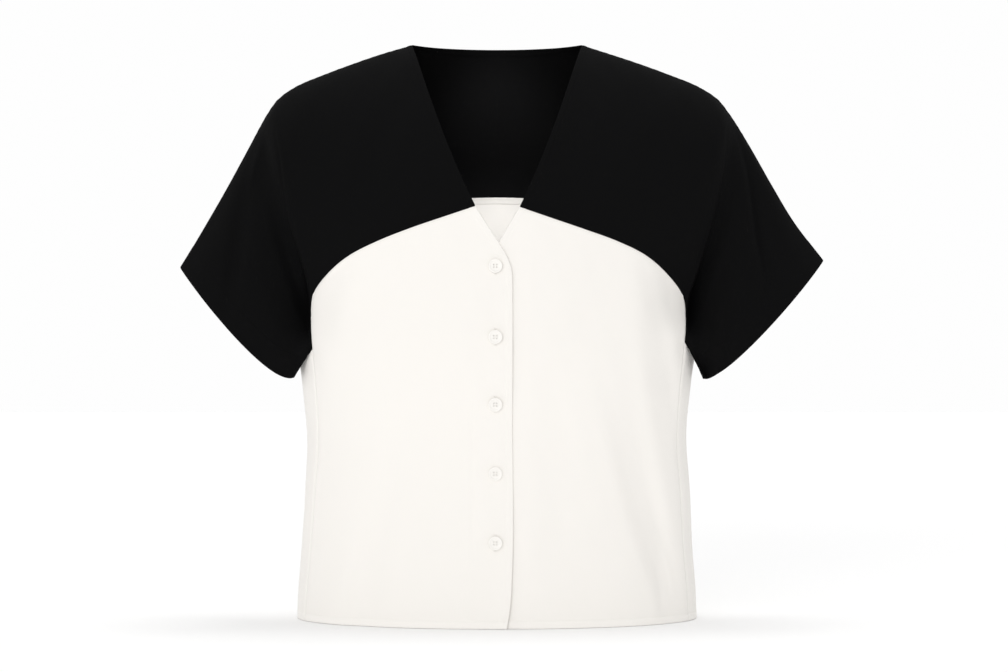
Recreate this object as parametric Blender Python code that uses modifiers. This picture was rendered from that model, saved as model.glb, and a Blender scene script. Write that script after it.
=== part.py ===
"""Short-sleeve V-neck blouse: a black yoke cut in one with its kimono sleeves, on an ivory body
that buttons down the front. It keeps the form of a worn garment, hollow and with nobody in it.

+X is the wearer's left, -Y the front and +Z up. The origin lies between the shoulders, at the
height where they carry the cloth. All sizes are in metres.
"""

import math

import bmesh
import bpy
import numpy as np
from mathutils import Matrix, Vector

COLLECTION = "v_neck_blouse"

# "out" is a distance from the centre line, "drop" a distance below the neck points, and "back" a
# distance behind the plane of the shoulders. "right" and "left" are the wearer's.
SIDES = {"right": -1, "left": 1}

NECK_RISE = 0.015  # neck points above the mount
NECK_HALF_WIDTH = 0.0886
NECK_DEPTH = 0.050  # from the neck points back to the middle of the back neckline
HEM_DROP = 0.588
CLOTH = 0.0012  # wall
SEAM_GAP = 0.0004  # between two pieces that are sewn together
UNDERARM_GAP = 0.0018  # the same where four pieces meet at the underarm
MEETING = 0.0003  # edge points of different pieces meet if they lie nearer than this
ROUNDNESS = 0.9  # 1 makes the torso's rings ellipses, less makes them squarer
SIDE_SEAM_TURN = 72.0  # degrees from centre front, at the hem

STEPS = 2  # columns of faces from one rib of the yoke to the next
YOKE_ROWS = 12
SKIRT_ROWS = 16  # rows of faces from the underarm to the hem
CORNER_RIB = 6  # up to here the yoke seam is the top edge of a front body, and then its side edge
UNDERARM_RIB = 8
CUFF_RIB = 11

# Rings of the torso
RING_COLUMNS = ("drop", "half_width", "front", "back")
RINGS = (
    (0.150, 0.2080, 0.107, 0.096),
    (0.210, 0.2075, 0.112, 0.099),
    (0.270, 0.2060, 0.116, 0.099),
    (0.310, 0.2045, 0.117, 0.097),
    (0.350, 0.1995, 0.115, 0.093),
    (0.405, 0.1952, 0.111, 0.089),
    (0.460, 0.1980, 0.110, 0.093),
    (0.520, 0.2010, 0.112, 0.099),
    (0.560, 0.2040, 0.114, 0.103),
    (0.588, 0.2050, 0.115, 0.105),
)

# Shoulder seam and overarm line, from the neck point (rib 0) to the cuff (rib 11). Rib 6 is where
# the shoulder turns into the sleeve, and the sleeve's hem is turned up at rib 10.
OVERARM_COLUMNS = ("rib", "right_out", "right_drop", "left_out", "left_drop")
OVERARM = (
    (0, 0.0886, 0.000, 0.0886, 0.000),
    (1, 0.1196, 0.009, 0.1169, 0.009),
    (2, 0.1488, 0.019, 0.1471, 0.019),
    (3, 0.1781, 0.030, 0.1772, 0.030),
    (4, 0.2045, 0.041, 0.2045, 0.041),
    (5, 0.2240, 0.054, 0.2258, 0.054),
    (6, 0.2350, 0.068, 0.2377, 0.068),
    (7, 0.2456, 0.086, 0.2499, 0.086),
    (8, 0.2595, 0.112, 0.2654, 0.112),
    (9, 0.2813, 0.152, 0.2840, 0.145),
    (10, 0.3097, 0.201, 0.3069, 0.183),
    (11, 0.3265, 0.2287, 0.3363, 0.2215),
)

# Seam between the front yoke and the front body, from the V edge (rib 0) to the underarm (rib 8)
FRONT_SEAM_COLUMNS = OVERARM_COLUMNS
FRONT_SEAM = (
    (0, 0.0214, 0.1714, 0.0230, 0.1723),
    (1, 0.0520, 0.1815, 0.0530, 0.1825),
    (2, 0.0850, 0.1925, 0.0860, 0.1935),
    (3, 0.1180, 0.2050, 0.1190, 0.2050),
    (4, 0.1480, 0.2195, 0.1490, 0.2190),
    (5, 0.1710, 0.2378, 0.1725, 0.2380),
    (6, 0.1862, 0.2585, 0.1890, 0.2590),
    (7, 0.1884, 0.2850, 0.1920, 0.2820),
    (8, 0.1866, 0.3129, 0.1903, 0.3058),
)

# Seam between the back yoke and the back body, from centre back (rib -3) almost to the underarm
BACK_SEAM_COLUMNS = ("rib", "turn", "drop")
BACK_SEAM = (
    (-3, 180.0, 0.1530),
    (-2, 175.0, 0.1533),
    (-1, 169.5, 0.1542),
    (0, 163.5, 0.1560),
    (1, 155.5, 0.1595),
    (2, 147.0, 0.1660),
    (3, 138.5, 0.1760),
    (4, 130.0, 0.1920),
    (5, 121.0, 0.2160),
    (6, 111.0, 0.2520),
    (7, 91.0, 0.2930),
)

# Each rib is a curve from the overarm line down to the seam under it, with two handles. "throw" is
# how far the upper handle stands forward of the line, or behind it. "lean" moves a handle along the
# rib, as a share of its length, and "bow" moves it sideways. The lower handle follows the torso by
# "grip", and for the rest stands "hang" behind the seam.
RIB_COLUMNS = (
    "rib", "throw", "lean_top", "bow_top", "lean_low", "bow_low", "grip", "hang",
)
FRONT_RIBS = (
    (0, 0.045, 0.08, -0.002, 0.46, 0.008, 1.0, 0.000),
    (1, 0.048, 0.08, 0.000, 0.44, 0.000, 1.0, 0.000),
    (2, 0.050, 0.08, 0.000, 0.42, 0.000, 1.0, 0.000),
    (3, 0.053, 0.08, 0.000, 0.40, 0.000, 0.9, -0.004),
    (4, 0.056, 0.08, 0.000, 0.40, 0.000, 0.7, -0.008),
    (5, 0.058, 0.08, 0.000, 0.42, 0.000, 0.4, -0.012),
    (6, 0.056, 0.08, 0.000, 0.45, 0.004, 0.1, -0.012),
    (7, 0.046, 0.09, 0.000, 0.36, 0.008, 0.0, 0.014),
    (8, 0.044, 0.12, 0.000, 0.22, 0.012, 0.0, 0.004),
    (9, 0.046, 0.16, 0.002, 0.16, 0.020, 0.0, -0.014),
    (10, 0.048, 0.21, 0.004, 0.10, 0.024, 0.0, -0.022),
    (11, 0.050, 0.26, 0.0065, 0.054, 0.022, 0.0, -0.026),
)
BACK_RIBS = (
    (-3, 0.013, 0.24, 0.000, 0.42, 0.000, 1.0, 0.000),
    (-2, 0.018, 0.20, 0.003, 0.42, 0.000, 1.0, 0.000),
    (-1, 0.031, 0.12, 0.008, 0.42, 0.000, 1.0, 0.000),
    (0, 0.055, 0.04, 0.012, 0.42, 0.000, 1.0, 0.000),
    (1, 0.060, 0.05, 0.008, 0.42, 0.000, 1.0, 0.000),
    (2, 0.063, 0.06, 0.003, 0.42, 0.000, 1.0, 0.000),
    (3, 0.064, 0.08, 0.000, 0.42, 0.000, 0.9, 0.002),
    (4, 0.063, 0.08, 0.000, 0.42, 0.000, 0.7, 0.006),
    (5, 0.060, 0.08, 0.000, 0.42, 0.000, 0.4, 0.010),
    (6, 0.057, 0.08, 0.000, 0.42, 0.002, 0.1, 0.012),
    (7, 0.050, 0.09, 0.000, 0.30, 0.014, 0.0, 0.014),
    (8, 0.048, 0.12, 0.000, 0.12, 0.026, 0.0, 0.050),
    (9, 0.047, 0.16, 0.000, 0.12, 0.025, 0.0, 0.054),
    (10, 0.047, 0.20, 0.002, 0.10, 0.024, 0.0, 0.058),
    (11, 0.047, 0.24, 0.004, 0.06, 0.022, 0.0, 0.060),
)

# Where the underarm seam ends at the cuff, as (out, back, drop), how far along that seam each rib of
# the sleeve stands, and how much less the cuff bows in front on each side
CUFF_CORNER = {"right": (0.2054, -0.038, 0.3416), "left": (0.2095, -0.038, 0.3426)}
UNDERARM_SHARE = {8: 0.0, 9: 0.25, 10: 0.52, 11: 1.0}
CUFF_BOW_LESS = {"right": 0.0, "left": 0.006}

# Centre-front edge of each front, over its rows of faces. An "out" below 0 is past the centre line.
LAP_COLUMNS = ("row", "drop", "right_out", "left_out")
LAP_EDGE = (
    (3, 0.208, -0.0018, 0.0018),
    (4, 0.218, -0.0082, -0.0045),
    (5, 0.227, -0.0122, -0.0100),
    (6, 0.237, -0.0148, -0.0140),
    (7.5, 0.262, -0.0153, -0.0170),
    (12, 0.380, -0.0152, -0.0175),
    (17.5, 0.530, -0.0151, -0.0175),
    (19, 0.568, -0.0130, -0.0175),
    (20, 0.588, -0.0097, -0.0175),
)
LAP_ROWS = 20
LAP_SINK = 0.0018  # the under front lies this far behind the upper one
LAP_SINK_OUT = (0.0165, 0.036)  # whole up to the first, nothing from the second on
LAP_SINK_DROP = (0.180, 0.204)  # nothing down to the first, whole from the second on

# Large folds as soft troughs, each along a bent path of three points. "deep" is how far the cloth
# goes in, "inner" and "outer" how wide the trough is towards the centre line and away from it.
FOLD_COLUMNS = (
    "side", "out_1", "drop_1", "out_2", "drop_2", "out_3", "drop_3", "deep", "inner", "outer",
)
FRONT_FOLDS = (
    ("right", 0.226, 0.100, 0.214, 0.185, 0.190, 0.262, 0.0070, 0.006, 0.022),
    ("left", 0.238, 0.075, 0.229, 0.170, 0.197, 0.266, 0.0070, 0.006, 0.022),
    ("right", 0.256, 0.150, 0.266, 0.200, 0.262, 0.262, 0.0040, 0.016, 0.018),
    ("left", 0.262, 0.135, 0.268, 0.190, 0.276, 0.250, 0.0045, 0.014, 0.016),
    ("left", 0.085, 0.060, 0.080, 0.100, 0.074, 0.130, 0.0020, 0.012, 0.014),
    ("left", 0.160, 0.262, 0.162, 0.340, 0.180, 0.420, 0.0050, 0.024, 0.022),
    ("left", 0.116, 0.410, 0.148, 0.500, 0.176, 0.570, 0.0050, 0.020, 0.026),
    ("right", 0.168, 0.300, 0.160, 0.380, 0.165, 0.470, 0.0035, 0.022, 0.020),
    ("right", 0.110, 0.360, 0.104, 0.440, 0.112, 0.540, 0.0025, 0.020, 0.018),
)
BACK_FOLDS = (
    ("right", 0.228, 0.105, 0.216, 0.180, 0.188, 0.240, 0.0060, 0.010, 0.022),
    ("left", 0.234, 0.095, 0.222, 0.170, 0.190, 0.244, 0.0065, 0.010, 0.022),
    ("right", 0.262, 0.150, 0.270, 0.200, 0.266, 0.255, 0.0040, 0.016, 0.018),
    ("left", 0.266, 0.140, 0.276, 0.195, 0.276, 0.250, 0.0040, 0.014, 0.016),
    ("right", 0.120, 0.230, 0.105, 0.330, 0.112, 0.440, 0.0045, 0.024, 0.024),
    ("left", 0.128, 0.240, 0.112, 0.350, 0.104, 0.470, 0.0050, 0.022, 0.026),
    ("right", 0.046, 0.360, 0.054, 0.460, 0.062, 0.560, 0.0040, 0.024, 0.020),
    ("left", 0.060, 0.400, 0.052, 0.480, 0.058, 0.575, 0.0035, 0.020, 0.024),
)
FOLD_FADE_DROP = 0.060  # a fold grows and fades over this length at its ends
FOLD_EDGE_SHARE = 0.14  # share of a rib over which a fold fades towards the overarm line
FOLD_SIDE_DROP = (0.290, 0.330)  # from here down, folds of the fronts fade towards the side seams
FOLD_SIDE_COLUMNS = 3  # over this many columns of faces
FOLD_BEHIND = (0.004, 0.030)  # folds of the back grow between these distances behind the shoulders
UNDERARM_CALM = 0.022  # no fold reaches nearer than this to the underarm point

# Buttons
BUTTON_OUT = -0.0013
BUTTON_DROPS = (0.2308, 0.3007, 0.3672, 0.4356, 0.5041)
BUTTON_RADIUS = 0.0070
BUTTON_THICK = 0.0026
BUTTON_DISH_RADIUS = 0.0046
BUTTON_DISH_DEPTH = 0.0008
BUTTON_EDGE = 0.0007  # rounding of the rim
BUTTON_HOLE_RADIUS = 0.0008
BUTTON_HOLE_PITCH = 0.0026
BUTTON_SEGMENTS = 16
BUTTON_LIFT = 0.0004  # clear of the cloth, which curves a little under it

BLACK_CLOTH = ("black_cloth", (0.012, 0.012, 0.013), 0.88)
IVORY_CLOTH = ("ivory_cloth", (0.93, 0.905, 0.86), 0.90)
BUTTON_SHELL = ("ivory_button", (0.90, 0.87, 0.81), 0.35)

MERGE = 0.00001


# ---- Reading the tables -------------------------------------------------------------------------

def column(rows, names, name):
    return np.array([row[names.index(name)] for row in rows], float)


def read(keys, values, at):
    """The value at a place between the keys, on a smooth curve through all of them."""
    keys = np.asarray(keys, float)
    values = np.asarray(values, float)
    at = np.asarray(at, float)
    slopes = np.gradient(values, keys)
    k = np.clip(np.searchsorted(keys, at, side="right") - 1, 0, len(keys) - 2)
    span = keys[k + 1] - keys[k]
    t = (at - keys[k]) / span
    start = values[k] * (1 + 2 * t) * (1 - t) ** 2 + slopes[k] * span * t * (1 - t) ** 2
    end = values[k + 1] * t * t * (3 - 2 * t) + slopes[k + 1] * span * t * t * (t - 1)
    return start + end


def read_table(rows, names, name, at):
    return read(column(rows, names, names[0]), column(rows, names, name), at)


def smooth(value, low, high):
    """0 below low, 1 above high, and a soft step between them."""
    t = np.clip((np.asarray(value, float) - low) / (high - low), 0.0, 1.0)
    return t * t * (3 - 2 * t)


# ---- Torso --------------------------------------------------------------------------------------

def ring(drop):
    return [read_table(RINGS, RING_COLUMNS, name, drop) for name in RING_COLUMNS[1:]]


def torso_back(out, drop, front):
    """How far back the torso's surface lies at a place seen from the front or from behind."""
    half_width, ahead, behind = ring(drop)
    share = np.clip(1 - (out / half_width) ** 2, 0.0, 1.0) ** (ROUNDNESS / 2)
    return -ahead * share if front else behind * share


def torso_point(turn, drop):
    """(out, back, drop) at an angle from centre front (0) round to centre back (180)."""
    half_width, ahead, behind = ring(drop)
    cosine = np.cos(np.radians(turn))
    depth = np.where(cosine > 0, -ahead, behind)
    return np.stack(
        [half_width * np.sin(np.radians(turn)), depth * np.abs(cosine) ** ROUNDNESS, drop + 0 * turn],
        axis=-1,
    )


def turn_of(out, drop):
    """The front angle at which the torso is this far out."""
    return np.degrees(np.arcsin(np.clip(out / ring(drop)[0], -1.0, 1.0)))


def placed(side, point):
    """World coordinates of (out, back, drop)."""
    out, back, drop = np.moveaxis(np.asarray(point, float), -1, 0)
    return np.stack([SIDES[side] * out, back, NECK_RISE - drop], axis=-1)


# ---- Seam lines ---------------------------------------------------------------------------------

def overarm_point(side, rib):
    out = read_table(OVERARM, OVERARM_COLUMNS, side + "_out", rib)
    drop = read_table(OVERARM, OVERARM_COLUMNS, side + "_drop", rib)
    return np.array([out, 0.0, drop])


def neckline_point(rib):
    """Half of the back neckline, an arc: rib -3 is centre back and rib 0 the neck point."""
    radius = (NECK_HALF_WIDTH ** 2 + NECK_DEPTH ** 2) / (2 * NECK_DEPTH)
    angle = math.asin(NECK_HALF_WIDTH / radius) * (1 - rib / BACK_RIBS[0][0])
    back = radius * math.cos(angle) - radius + NECK_DEPTH
    return np.array([radius * math.sin(angle), back, 0.0])


def front_seam_place(side, rib):
    """(turn, drop) of the front yoke's seam on the torso."""
    out = read_table(FRONT_SEAM, FRONT_SEAM_COLUMNS, side + "_out", rib)
    drop = read_table(FRONT_SEAM, FRONT_SEAM_COLUMNS, side + "_drop", rib)
    return np.array([turn_of(out, drop), drop])


def back_seam_place(side, rib):
    """(turn, drop) of the back yoke's seam, which ends at the underarm with the front one."""
    ribs = np.append(column(BACK_SEAM, BACK_SEAM_COLUMNS, "rib"), UNDERARM_RIB)
    turn_end, drop_end = front_seam_place(side, UNDERARM_RIB)
    turns = np.append(column(BACK_SEAM, BACK_SEAM_COLUMNS, "turn"), turn_end)
    drops = np.append(column(BACK_SEAM, BACK_SEAM_COLUMNS, "drop"), drop_end)
    return np.array([read(ribs, turns, rib), read(ribs, drops, rib)])


def foot_point(side, rib, front):
    """Where a rib ends: on the torso, or past the underarm on the sleeve's own seam."""
    if rib <= UNDERARM_RIB:
        place = front_seam_place(side, rib) if front else back_seam_place(side, rib)
        return torso_point(*place)
    start = torso_point(*front_seam_place(side, UNDERARM_RIB))
    share = read(list(UNDERARM_SHARE), list(UNDERARM_SHARE.values()), rib)
    return start + share * (np.array(CUFF_CORNER[side]) - start)


# ---- Folds --------------------------------------------------------------------------------------

def fold_depth(side, out, drop, front):
    """How far the folds press the cloth in at places seen from the front or from behind."""
    underarm = torso_point(*front_seam_place(side, UNDERARM_RIB))
    from_underarm = np.hypot(out - underarm[0], drop - underarm[2])
    calm = smooth(from_underarm, UNDERARM_CALM / 2, 2 * UNDERARM_CALM)
    total = np.zeros(np.shape(out))
    for fold in FRONT_FOLDS if front else BACK_FOLDS:
        row = dict(zip(FOLD_COLUMNS, fold))
        if row["side"] != side:
            continue
        first, last = row["drop_1"], row["drop_3"]
        t = np.clip((drop - first) / (last - first), 0.0, 1.0)
        path = row["out_1"] * (1 - t) * (1 - 2 * t) + row["out_2"] * 4 * t * (1 - t)
        path += row["out_3"] * t * (2 * t - 1)
        away = out - path
        width = np.where(away < 0, row["inner"], row["outer"])
        along = smooth(drop, first - FOLD_FADE_DROP / 2, first + FOLD_FADE_DROP / 2)
        along = along * (1 - smooth(drop, last - FOLD_FADE_DROP / 2, last + FOLD_FADE_DROP / 2))
        total += row["deep"] * along * np.exp(-((away / width) ** 2))
    return total * calm


def pressed(side, points, front, fade=1.0):
    """Points (out, back, drop) with the folds pressed into them."""
    points = np.array(points, float)
    inward = 1 if front else -1
    if not front:
        fade = fade * smooth(points[..., 1], *FOLD_BEHIND)
    points[..., 1] += inward * fade * fold_depth(side, points[..., 0], points[..., 2], front)
    return points


# ---- Yoke and sleeve ----------------------------------------------------------------------------

def rib_curve(side, rib, front, shares):
    """Points (out, back, drop) along one rib, at shares of its length from the top."""
    rows = FRONT_RIBS if front else BACK_RIBS
    row = {name: read_table(rows, RIB_COLUMNS, name, rib) for name in RIB_COLUMNS[1:]}
    top = neckline_point(rib) if rib < 0 else overarm_point(side, rib)
    foot = foot_point(side, rib, front)
    chord = np.array([foot[0] - top[0], 0.0, foot[2] - top[2]])
    sideways = np.array([chord[2], 0.0, -chord[0]]) / np.linalg.norm(chord)

    upper = top + row["lean_top"] * chord + row["bow_top"] * sideways
    upper[1] += -row["throw"] if front else row["throw"]

    bow_low = row["bow_low"] - front * CUFF_BOW_LESS[side] * smooth(rib, UNDERARM_RIB, CUFF_RIB)
    lower = foot - row["lean_low"] * chord + bow_low * sideways
    near = 0.05  # the torso's slope is taken over this share of the way to the handle
    step = foot + near * (lower - foot)
    rise = torso_back(step[0], step[2], front) - torso_back(foot[0], foot[2], front)
    lower[1] = foot[1] + row["grip"] * rise / near + (1 - row["grip"]) * row["hang"]

    t = shares[:, None]
    return (
        top * (1 - t) ** 3 + upper * 3 * t * (1 - t) ** 2 + lower * 3 * t * t * (1 - t) + foot * t ** 3
    )


def ribs_between(first, last):
    return np.linspace(first, last, round((last - first) * STEPS) + 1)


def yoke_grid(side, front):
    """World points of a yoke half, by rib and then from the overarm line down."""
    shares = np.linspace(0.0, 1.0, YOKE_ROWS + 1)
    first = FRONT_RIBS[0][0] if front else BACK_RIBS[0][0]
    ribs = ribs_between(first, CUFF_RIB)
    points = np.array([rib_curve(side, rib, front, shares) for rib in ribs])
    from_top = smooth(shares, 0.0, FOLD_EDGE_SHARE)[None, :]
    past_underarm = smooth(ribs, UNDERARM_RIB - 1, UNDERARM_RIB + 1)[:, None]
    from_foot = smooth(1 - shares, 0.0, FOLD_EDGE_SHARE)[None, :]
    fade = from_top * (1 - past_underarm * (1 - from_foot))
    return placed(side, pressed(side, points, front, fade))


# ---- Body ---------------------------------------------------------------------------------------

def side_seam(side):
    """(turn, drop) from the underarm down to the hem."""
    return even(front_seam_place(side, UNDERARM_RIB), (SIDE_SEAM_TURN, HEM_DROP), SKIRT_ROWS + 1)


def filled(top, hem, centre, side_line):
    """A grid whose four edges are the given rows of (turn, drop), blended between them."""
    u = np.linspace(0.0, 1.0, len(top))[:, None, None]
    v = np.linspace(0.0, 1.0, len(centre))[None, :, None]
    corners = (
        (1 - u) * (1 - v) * top[0] + u * (1 - v) * top[-1] + (1 - u) * v * hem[0] + u * v * hem[-1]
    )
    return (1 - v) * top[:, None] + v * hem[:, None] + (1 - u) * centre + u * side_line - corners


def even(start, end, count):
    share = np.linspace(0.0, 1.0, count)[:, None]
    return np.asarray(start) + share * (np.asarray(end) - np.asarray(start))


def lap_edge(side):
    """(turn, drop) down the centre-front edge."""
    out_0 = column(FRONT_SEAM, FRONT_SEAM_COLUMNS, side + "_out")[0]
    drop_0 = column(FRONT_SEAM, FRONT_SEAM_COLUMNS, side + "_drop")[0]
    keys = np.append(0, column(LAP_EDGE, LAP_COLUMNS, "row"))
    outs = np.append(out_0, column(LAP_EDGE, LAP_COLUMNS, side + "_out"))
    drops = np.append(drop_0, column(LAP_EDGE, LAP_COLUMNS, "drop"))
    rows = np.arange(LAP_ROWS + 1)
    drop = read(keys, drops, rows)
    return np.stack([turn_of(read(keys, outs, rows), drop), drop], axis=-1)


def front_body_grid(side):
    top = np.array([front_seam_place(side, rib) for rib in ribs_between(0, CORNER_RIB)])
    armhole = [front_seam_place(side, rib) for rib in ribs_between(CORNER_RIB, UNDERARM_RIB)]
    side_line = np.vstack([armhole, side_seam(side)[1:]])
    centre = lap_edge(side)
    hem = even(centre[-1], side_line[-1], len(top))
    turn, drop = np.moveaxis(filled(top, hem, centre, side_line), -1, 0)
    from_side = np.arange(len(top))[::-1, None]
    at_side = 1 - smooth(from_side, 0, FOLD_SIDE_COLUMNS)
    fade = 1 - at_side * smooth(drop, *FOLD_SIDE_DROP)
    points = pressed(side, torso_point(turn, drop), True, fade)
    if side == "left":
        covered = 1 - smooth(points[..., 0], *LAP_SINK_OUT)
        points[..., 1] += LAP_SINK * covered * smooth(points[..., 2], *LAP_SINK_DROP)
    return placed(side, points)


def back_body_grid(side):
    ribs = ribs_between(BACK_SEAM[0][0], UNDERARM_RIB)
    top = np.array([back_seam_place(side, rib) for rib in ribs])
    side_line = side_seam(side)
    centre = even(top[0], (180.0, HEM_DROP), len(side_line))
    hem = even(centre[-1], side_line[-1], len(top))
    turn, drop = np.moveaxis(filled(top, hem, centre, side_line), -1, 0)
    return placed(side, pressed(side, torso_point(turn, drop), False))


def both_sides(make):
    """The right half's grid, turned over, followed by the left half's."""
    return np.concatenate([make("right")[::-1], make("left")[1:]])


# ---- Walls --------------------------------------------------------------------------------------

class Piece:
    """A cut piece: its outer points, which way it faces, and which of its edges are sewn."""

    def __init__(self, name, cloth, points, facing, sewn):
        self.name = name
        self.cloth = cloth
        self.points = points
        self.sewn = sewn
        across = np.gradient(points, axis=0)
        down = np.gradient(points, axis=1)
        normals = np.cross(across, down)
        normals /= np.linalg.norm(normals, axis=-1, keepdims=True)
        self.normals = normals * np.sign(np.sum(normals[..., 1]) * facing)
        self.inward = self.normals.copy()

    def edge(self, name):
        """Indices along an edge, and the step from it into the piece."""
        columns, rows = self.points.shape[:2]
        return {
            "first": ([(0, j) for j in range(rows)], (1, 0)),
            "last": ([(columns - 1, j) for j in range(rows)], (-1, 0)),
            "top": ([(i, 0) for i in range(columns)], (0, 1)),
            "foot": ([(i, rows - 1) for i in range(columns)], (0, -1)),
        }[name]

    def border(self):
        names = ("first", "last", "top", "foot")
        return sorted({index for name in names for index in self.edge(name)[0]})


def meeting_points(pieces):
    """The border points of all pieces, in groups that lie together, each moved to its middle."""
    places = []
    groups = []
    for piece in pieces:
        for index in piece.border():
            here = piece.points[index]
            away = np.linalg.norm(np.array(places) - here, axis=1) if places else np.array([1.0])
            if away.min() < MEETING:
                groups[int(away.argmin())].append((piece, index))
            else:
                places.append(here)
                groups.append([(piece, index)])
    groups = [group for group in groups if len(group) > 1]
    for group in groups:
        middle = sum(piece.points[index] for piece, index in group) / len(group)
        for piece, index in group:
            piece.points[index] = middle
    return groups


def share_normals(groups):
    """Pieces that meet get one direction there, so that their walls end face to face."""
    for group in groups:
        for cloth in {piece.cloth for piece, _ in group}:
            same = [(piece, index) for piece, index in group if piece.cloth == cloth]
            mean = sum(piece.normals[index] for piece, index in same)
            for piece, index in same:
                piece.inward[index] = mean / np.linalg.norm(mean)
        directions = [piece.inward[index] for piece, index in group]
        mean = sum(directions)
        mean = mean / max(np.linalg.norm(mean), 1e-9)
        if min(float(mean @ direction) for direction in directions) > 0.85:
            for piece, index in group:
                piece.inward[index] = mean


def open_seams(pieces, groups):
    """Draws each sewn edge back by half the seam's gap."""
    sewn_points = {(piece.name, index) for group in groups for piece, index in group}
    crossings = [group for group in groups if len(group) > 3]
    underarms = {(piece.name, index) for group in crossings for piece, index in group}
    for piece in pieces:
        shift = np.zeros_like(piece.points)
        for name in piece.sewn:
            indices, (di, dj) = piece.edge(name)
            line = np.array([piece.points[index] for index in indices])
            tangents = np.gradient(line, axis=0)
            tangents /= np.linalg.norm(tangents, axis=1, keepdims=True)
            for (i, j), tangent in zip(indices, tangents):
                if (piece.name, (i, j)) not in sewn_points:
                    continue
                into = piece.points[i + di, j + dj] - piece.points[i, j]
                into = into - (into @ tangent) * tangent
                gap = UNDERARM_GAP if (piece.name, (i, j)) in underarms else SEAM_GAP
                shift[i, j] += into / np.linalg.norm(into) * gap / 2
        piece.points = piece.points + shift


def wall_object(piece, collection):
    """A closed wall of even thickness behind the piece's outer points."""
    own = np.sum(piece.inward * piece.normals, axis=-1, keepdims=True)
    inner = piece.points - piece.inward * CLOTH / np.clip(own, 0.6, 1.0)
    columns, rows = piece.points.shape[:2]

    mesh = bmesh.new()
    faces = {}
    for layer, grid in (("outer", piece.points), ("inner", inner)):
        faces[layer] = [[mesh.verts.new(Vector(p)) for p in line] for line in grid]
    turned = np.cross(
        piece.points[1, 0] - piece.points[0, 0], piece.points[0, 1] - piece.points[0, 0]
    ) @ piece.normals[0, 0] < 0

    def quad(corners, reverse, across):
        """Two triangles, parted from corner 0 to 2, or from 1 to 3."""
        halves = ((0, 1, 3), (1, 2, 3)) if across else ((0, 1, 2), (0, 2, 3))
        for half in halves:
            face = [corners[k] for k in half]
            mesh.faces.new(face[::-1] if reverse else face)

    p = piece.points
    falling = np.linalg.norm(p[1:, 1:] - p[:-1, :-1], axis=-1)
    rising = np.linalg.norm(p[1:, :-1] - p[:-1, 1:], axis=-1)
    for layer, grid in faces.items():
        for i in range(columns - 1):
            for j in range(rows - 1):
                corners = [grid[i][j], grid[i + 1][j], grid[i + 1][j + 1], grid[i][j + 1]]
                quad(corners, turned != (layer == "inner"), falling[i, j] > rising[i, j])
    rim = [(i, 0) for i in range(columns)]
    rim += [(columns - 1, j) for j in range(1, rows)]
    rim += [(i, rows - 1) for i in range(columns - 2, -1, -1)]
    rim += [(0, j) for j in range(rows - 2, 0, -1)]
    outer, inside = faces["outer"], faces["inner"]
    for (i, j), (k, m) in zip(rim, rim[1:] + rim[:1]):
        quad([outer[i][j], inside[i][j], inside[k][m], outer[k][m]], turned, False)

    data = bpy.data.meshes.new(piece.name)
    mesh.to_mesh(data)
    mesh.free()
    data.shade_smooth()
    data.set_sharp_from_angle(angle=math.radians(50))
    data.materials.append(material(*piece.cloth))
    item = bpy.data.objects.new(piece.name, data)
    collection.objects.link(item)
    return item


# ---- Buttons ------------------------------------------------------------------------------------

def turned_button(cutters):
    """A dished four-hole button, its back at the origin and its face up."""
    face = BUTTON_THICK - BUTTON_DISH_DEPTH
    profile = [
        (0.0, face),
        (BUTTON_DISH_RADIUS, face),
        (BUTTON_DISH_RADIUS + BUTTON_DISH_DEPTH, BUTTON_THICK),
        (BUTTON_RADIUS - BUTTON_EDGE, BUTTON_THICK),
        (BUTTON_RADIUS, BUTTON_THICK - BUTTON_EDGE),
        (BUTTON_RADIUS, BUTTON_EDGE),
        (BUTTON_RADIUS - BUTTON_EDGE, 0.0),
        (0.0, 0.0),
    ]
    data = bpy.data.meshes.new("button_profile")
    edges = [(k, k + 1) for k in range(len(profile) - 1)]
    data.from_pydata([(r, 0.0, z) for r, z in profile], edges, [])
    button = bpy.data.objects.new("button_blank", data)
    cutters.objects.link(button)
    screw = button.modifiers.new("Screw", "SCREW")
    screw.steps = screw.render_steps = BUTTON_SEGMENTS
    screw.use_merge_vertices = True
    screw.merge_threshold = MERGE

    half = BUTTON_HOLE_PITCH / 2
    for x in (-half, half):
        for y in (-half, half):
            bpy.ops.mesh.primitive_cylinder_add(
                vertices=6, radius=BUTTON_HOLE_RADIUS, depth=3 * BUTTON_THICK,
                location=(x, y, BUTTON_THICK / 2),
            )
            hole = bpy.context.object
            hole.name = "button_hole"
            hole.hide_render = True
            hole.display_type = "WIRE"
            for owner in list(hole.users_collection):
                owner.objects.unlink(hole)
            cutters.objects.link(hole)
            cut = button.modifiers.new("Hole", "BOOLEAN")
            cut.operation = "DIFFERENCE"
            cut.object = hole
    bpy.context.view_layer.update()
    depsgraph = bpy.context.evaluated_depsgraph_get()
    finished = bpy.data.meshes.new_from_object(button.evaluated_get(depsgraph))
    finished.name = "button"
    for item in list(cutters.objects):
        bpy.data.objects.remove(item)
    return finished


def front_frame(out, drop):
    """Where a button sits on the upper front, and the cloth's outward direction there."""
    near = 0.001
    here, across, down = [
        Vector(placed("left", np.array([o, torso_back(o, d, True), d])))
        for o, d in ((out, drop), (out + near, drop), (out, drop + near))
    ]
    return here, (down - here).cross(across - here).normalized()


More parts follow.
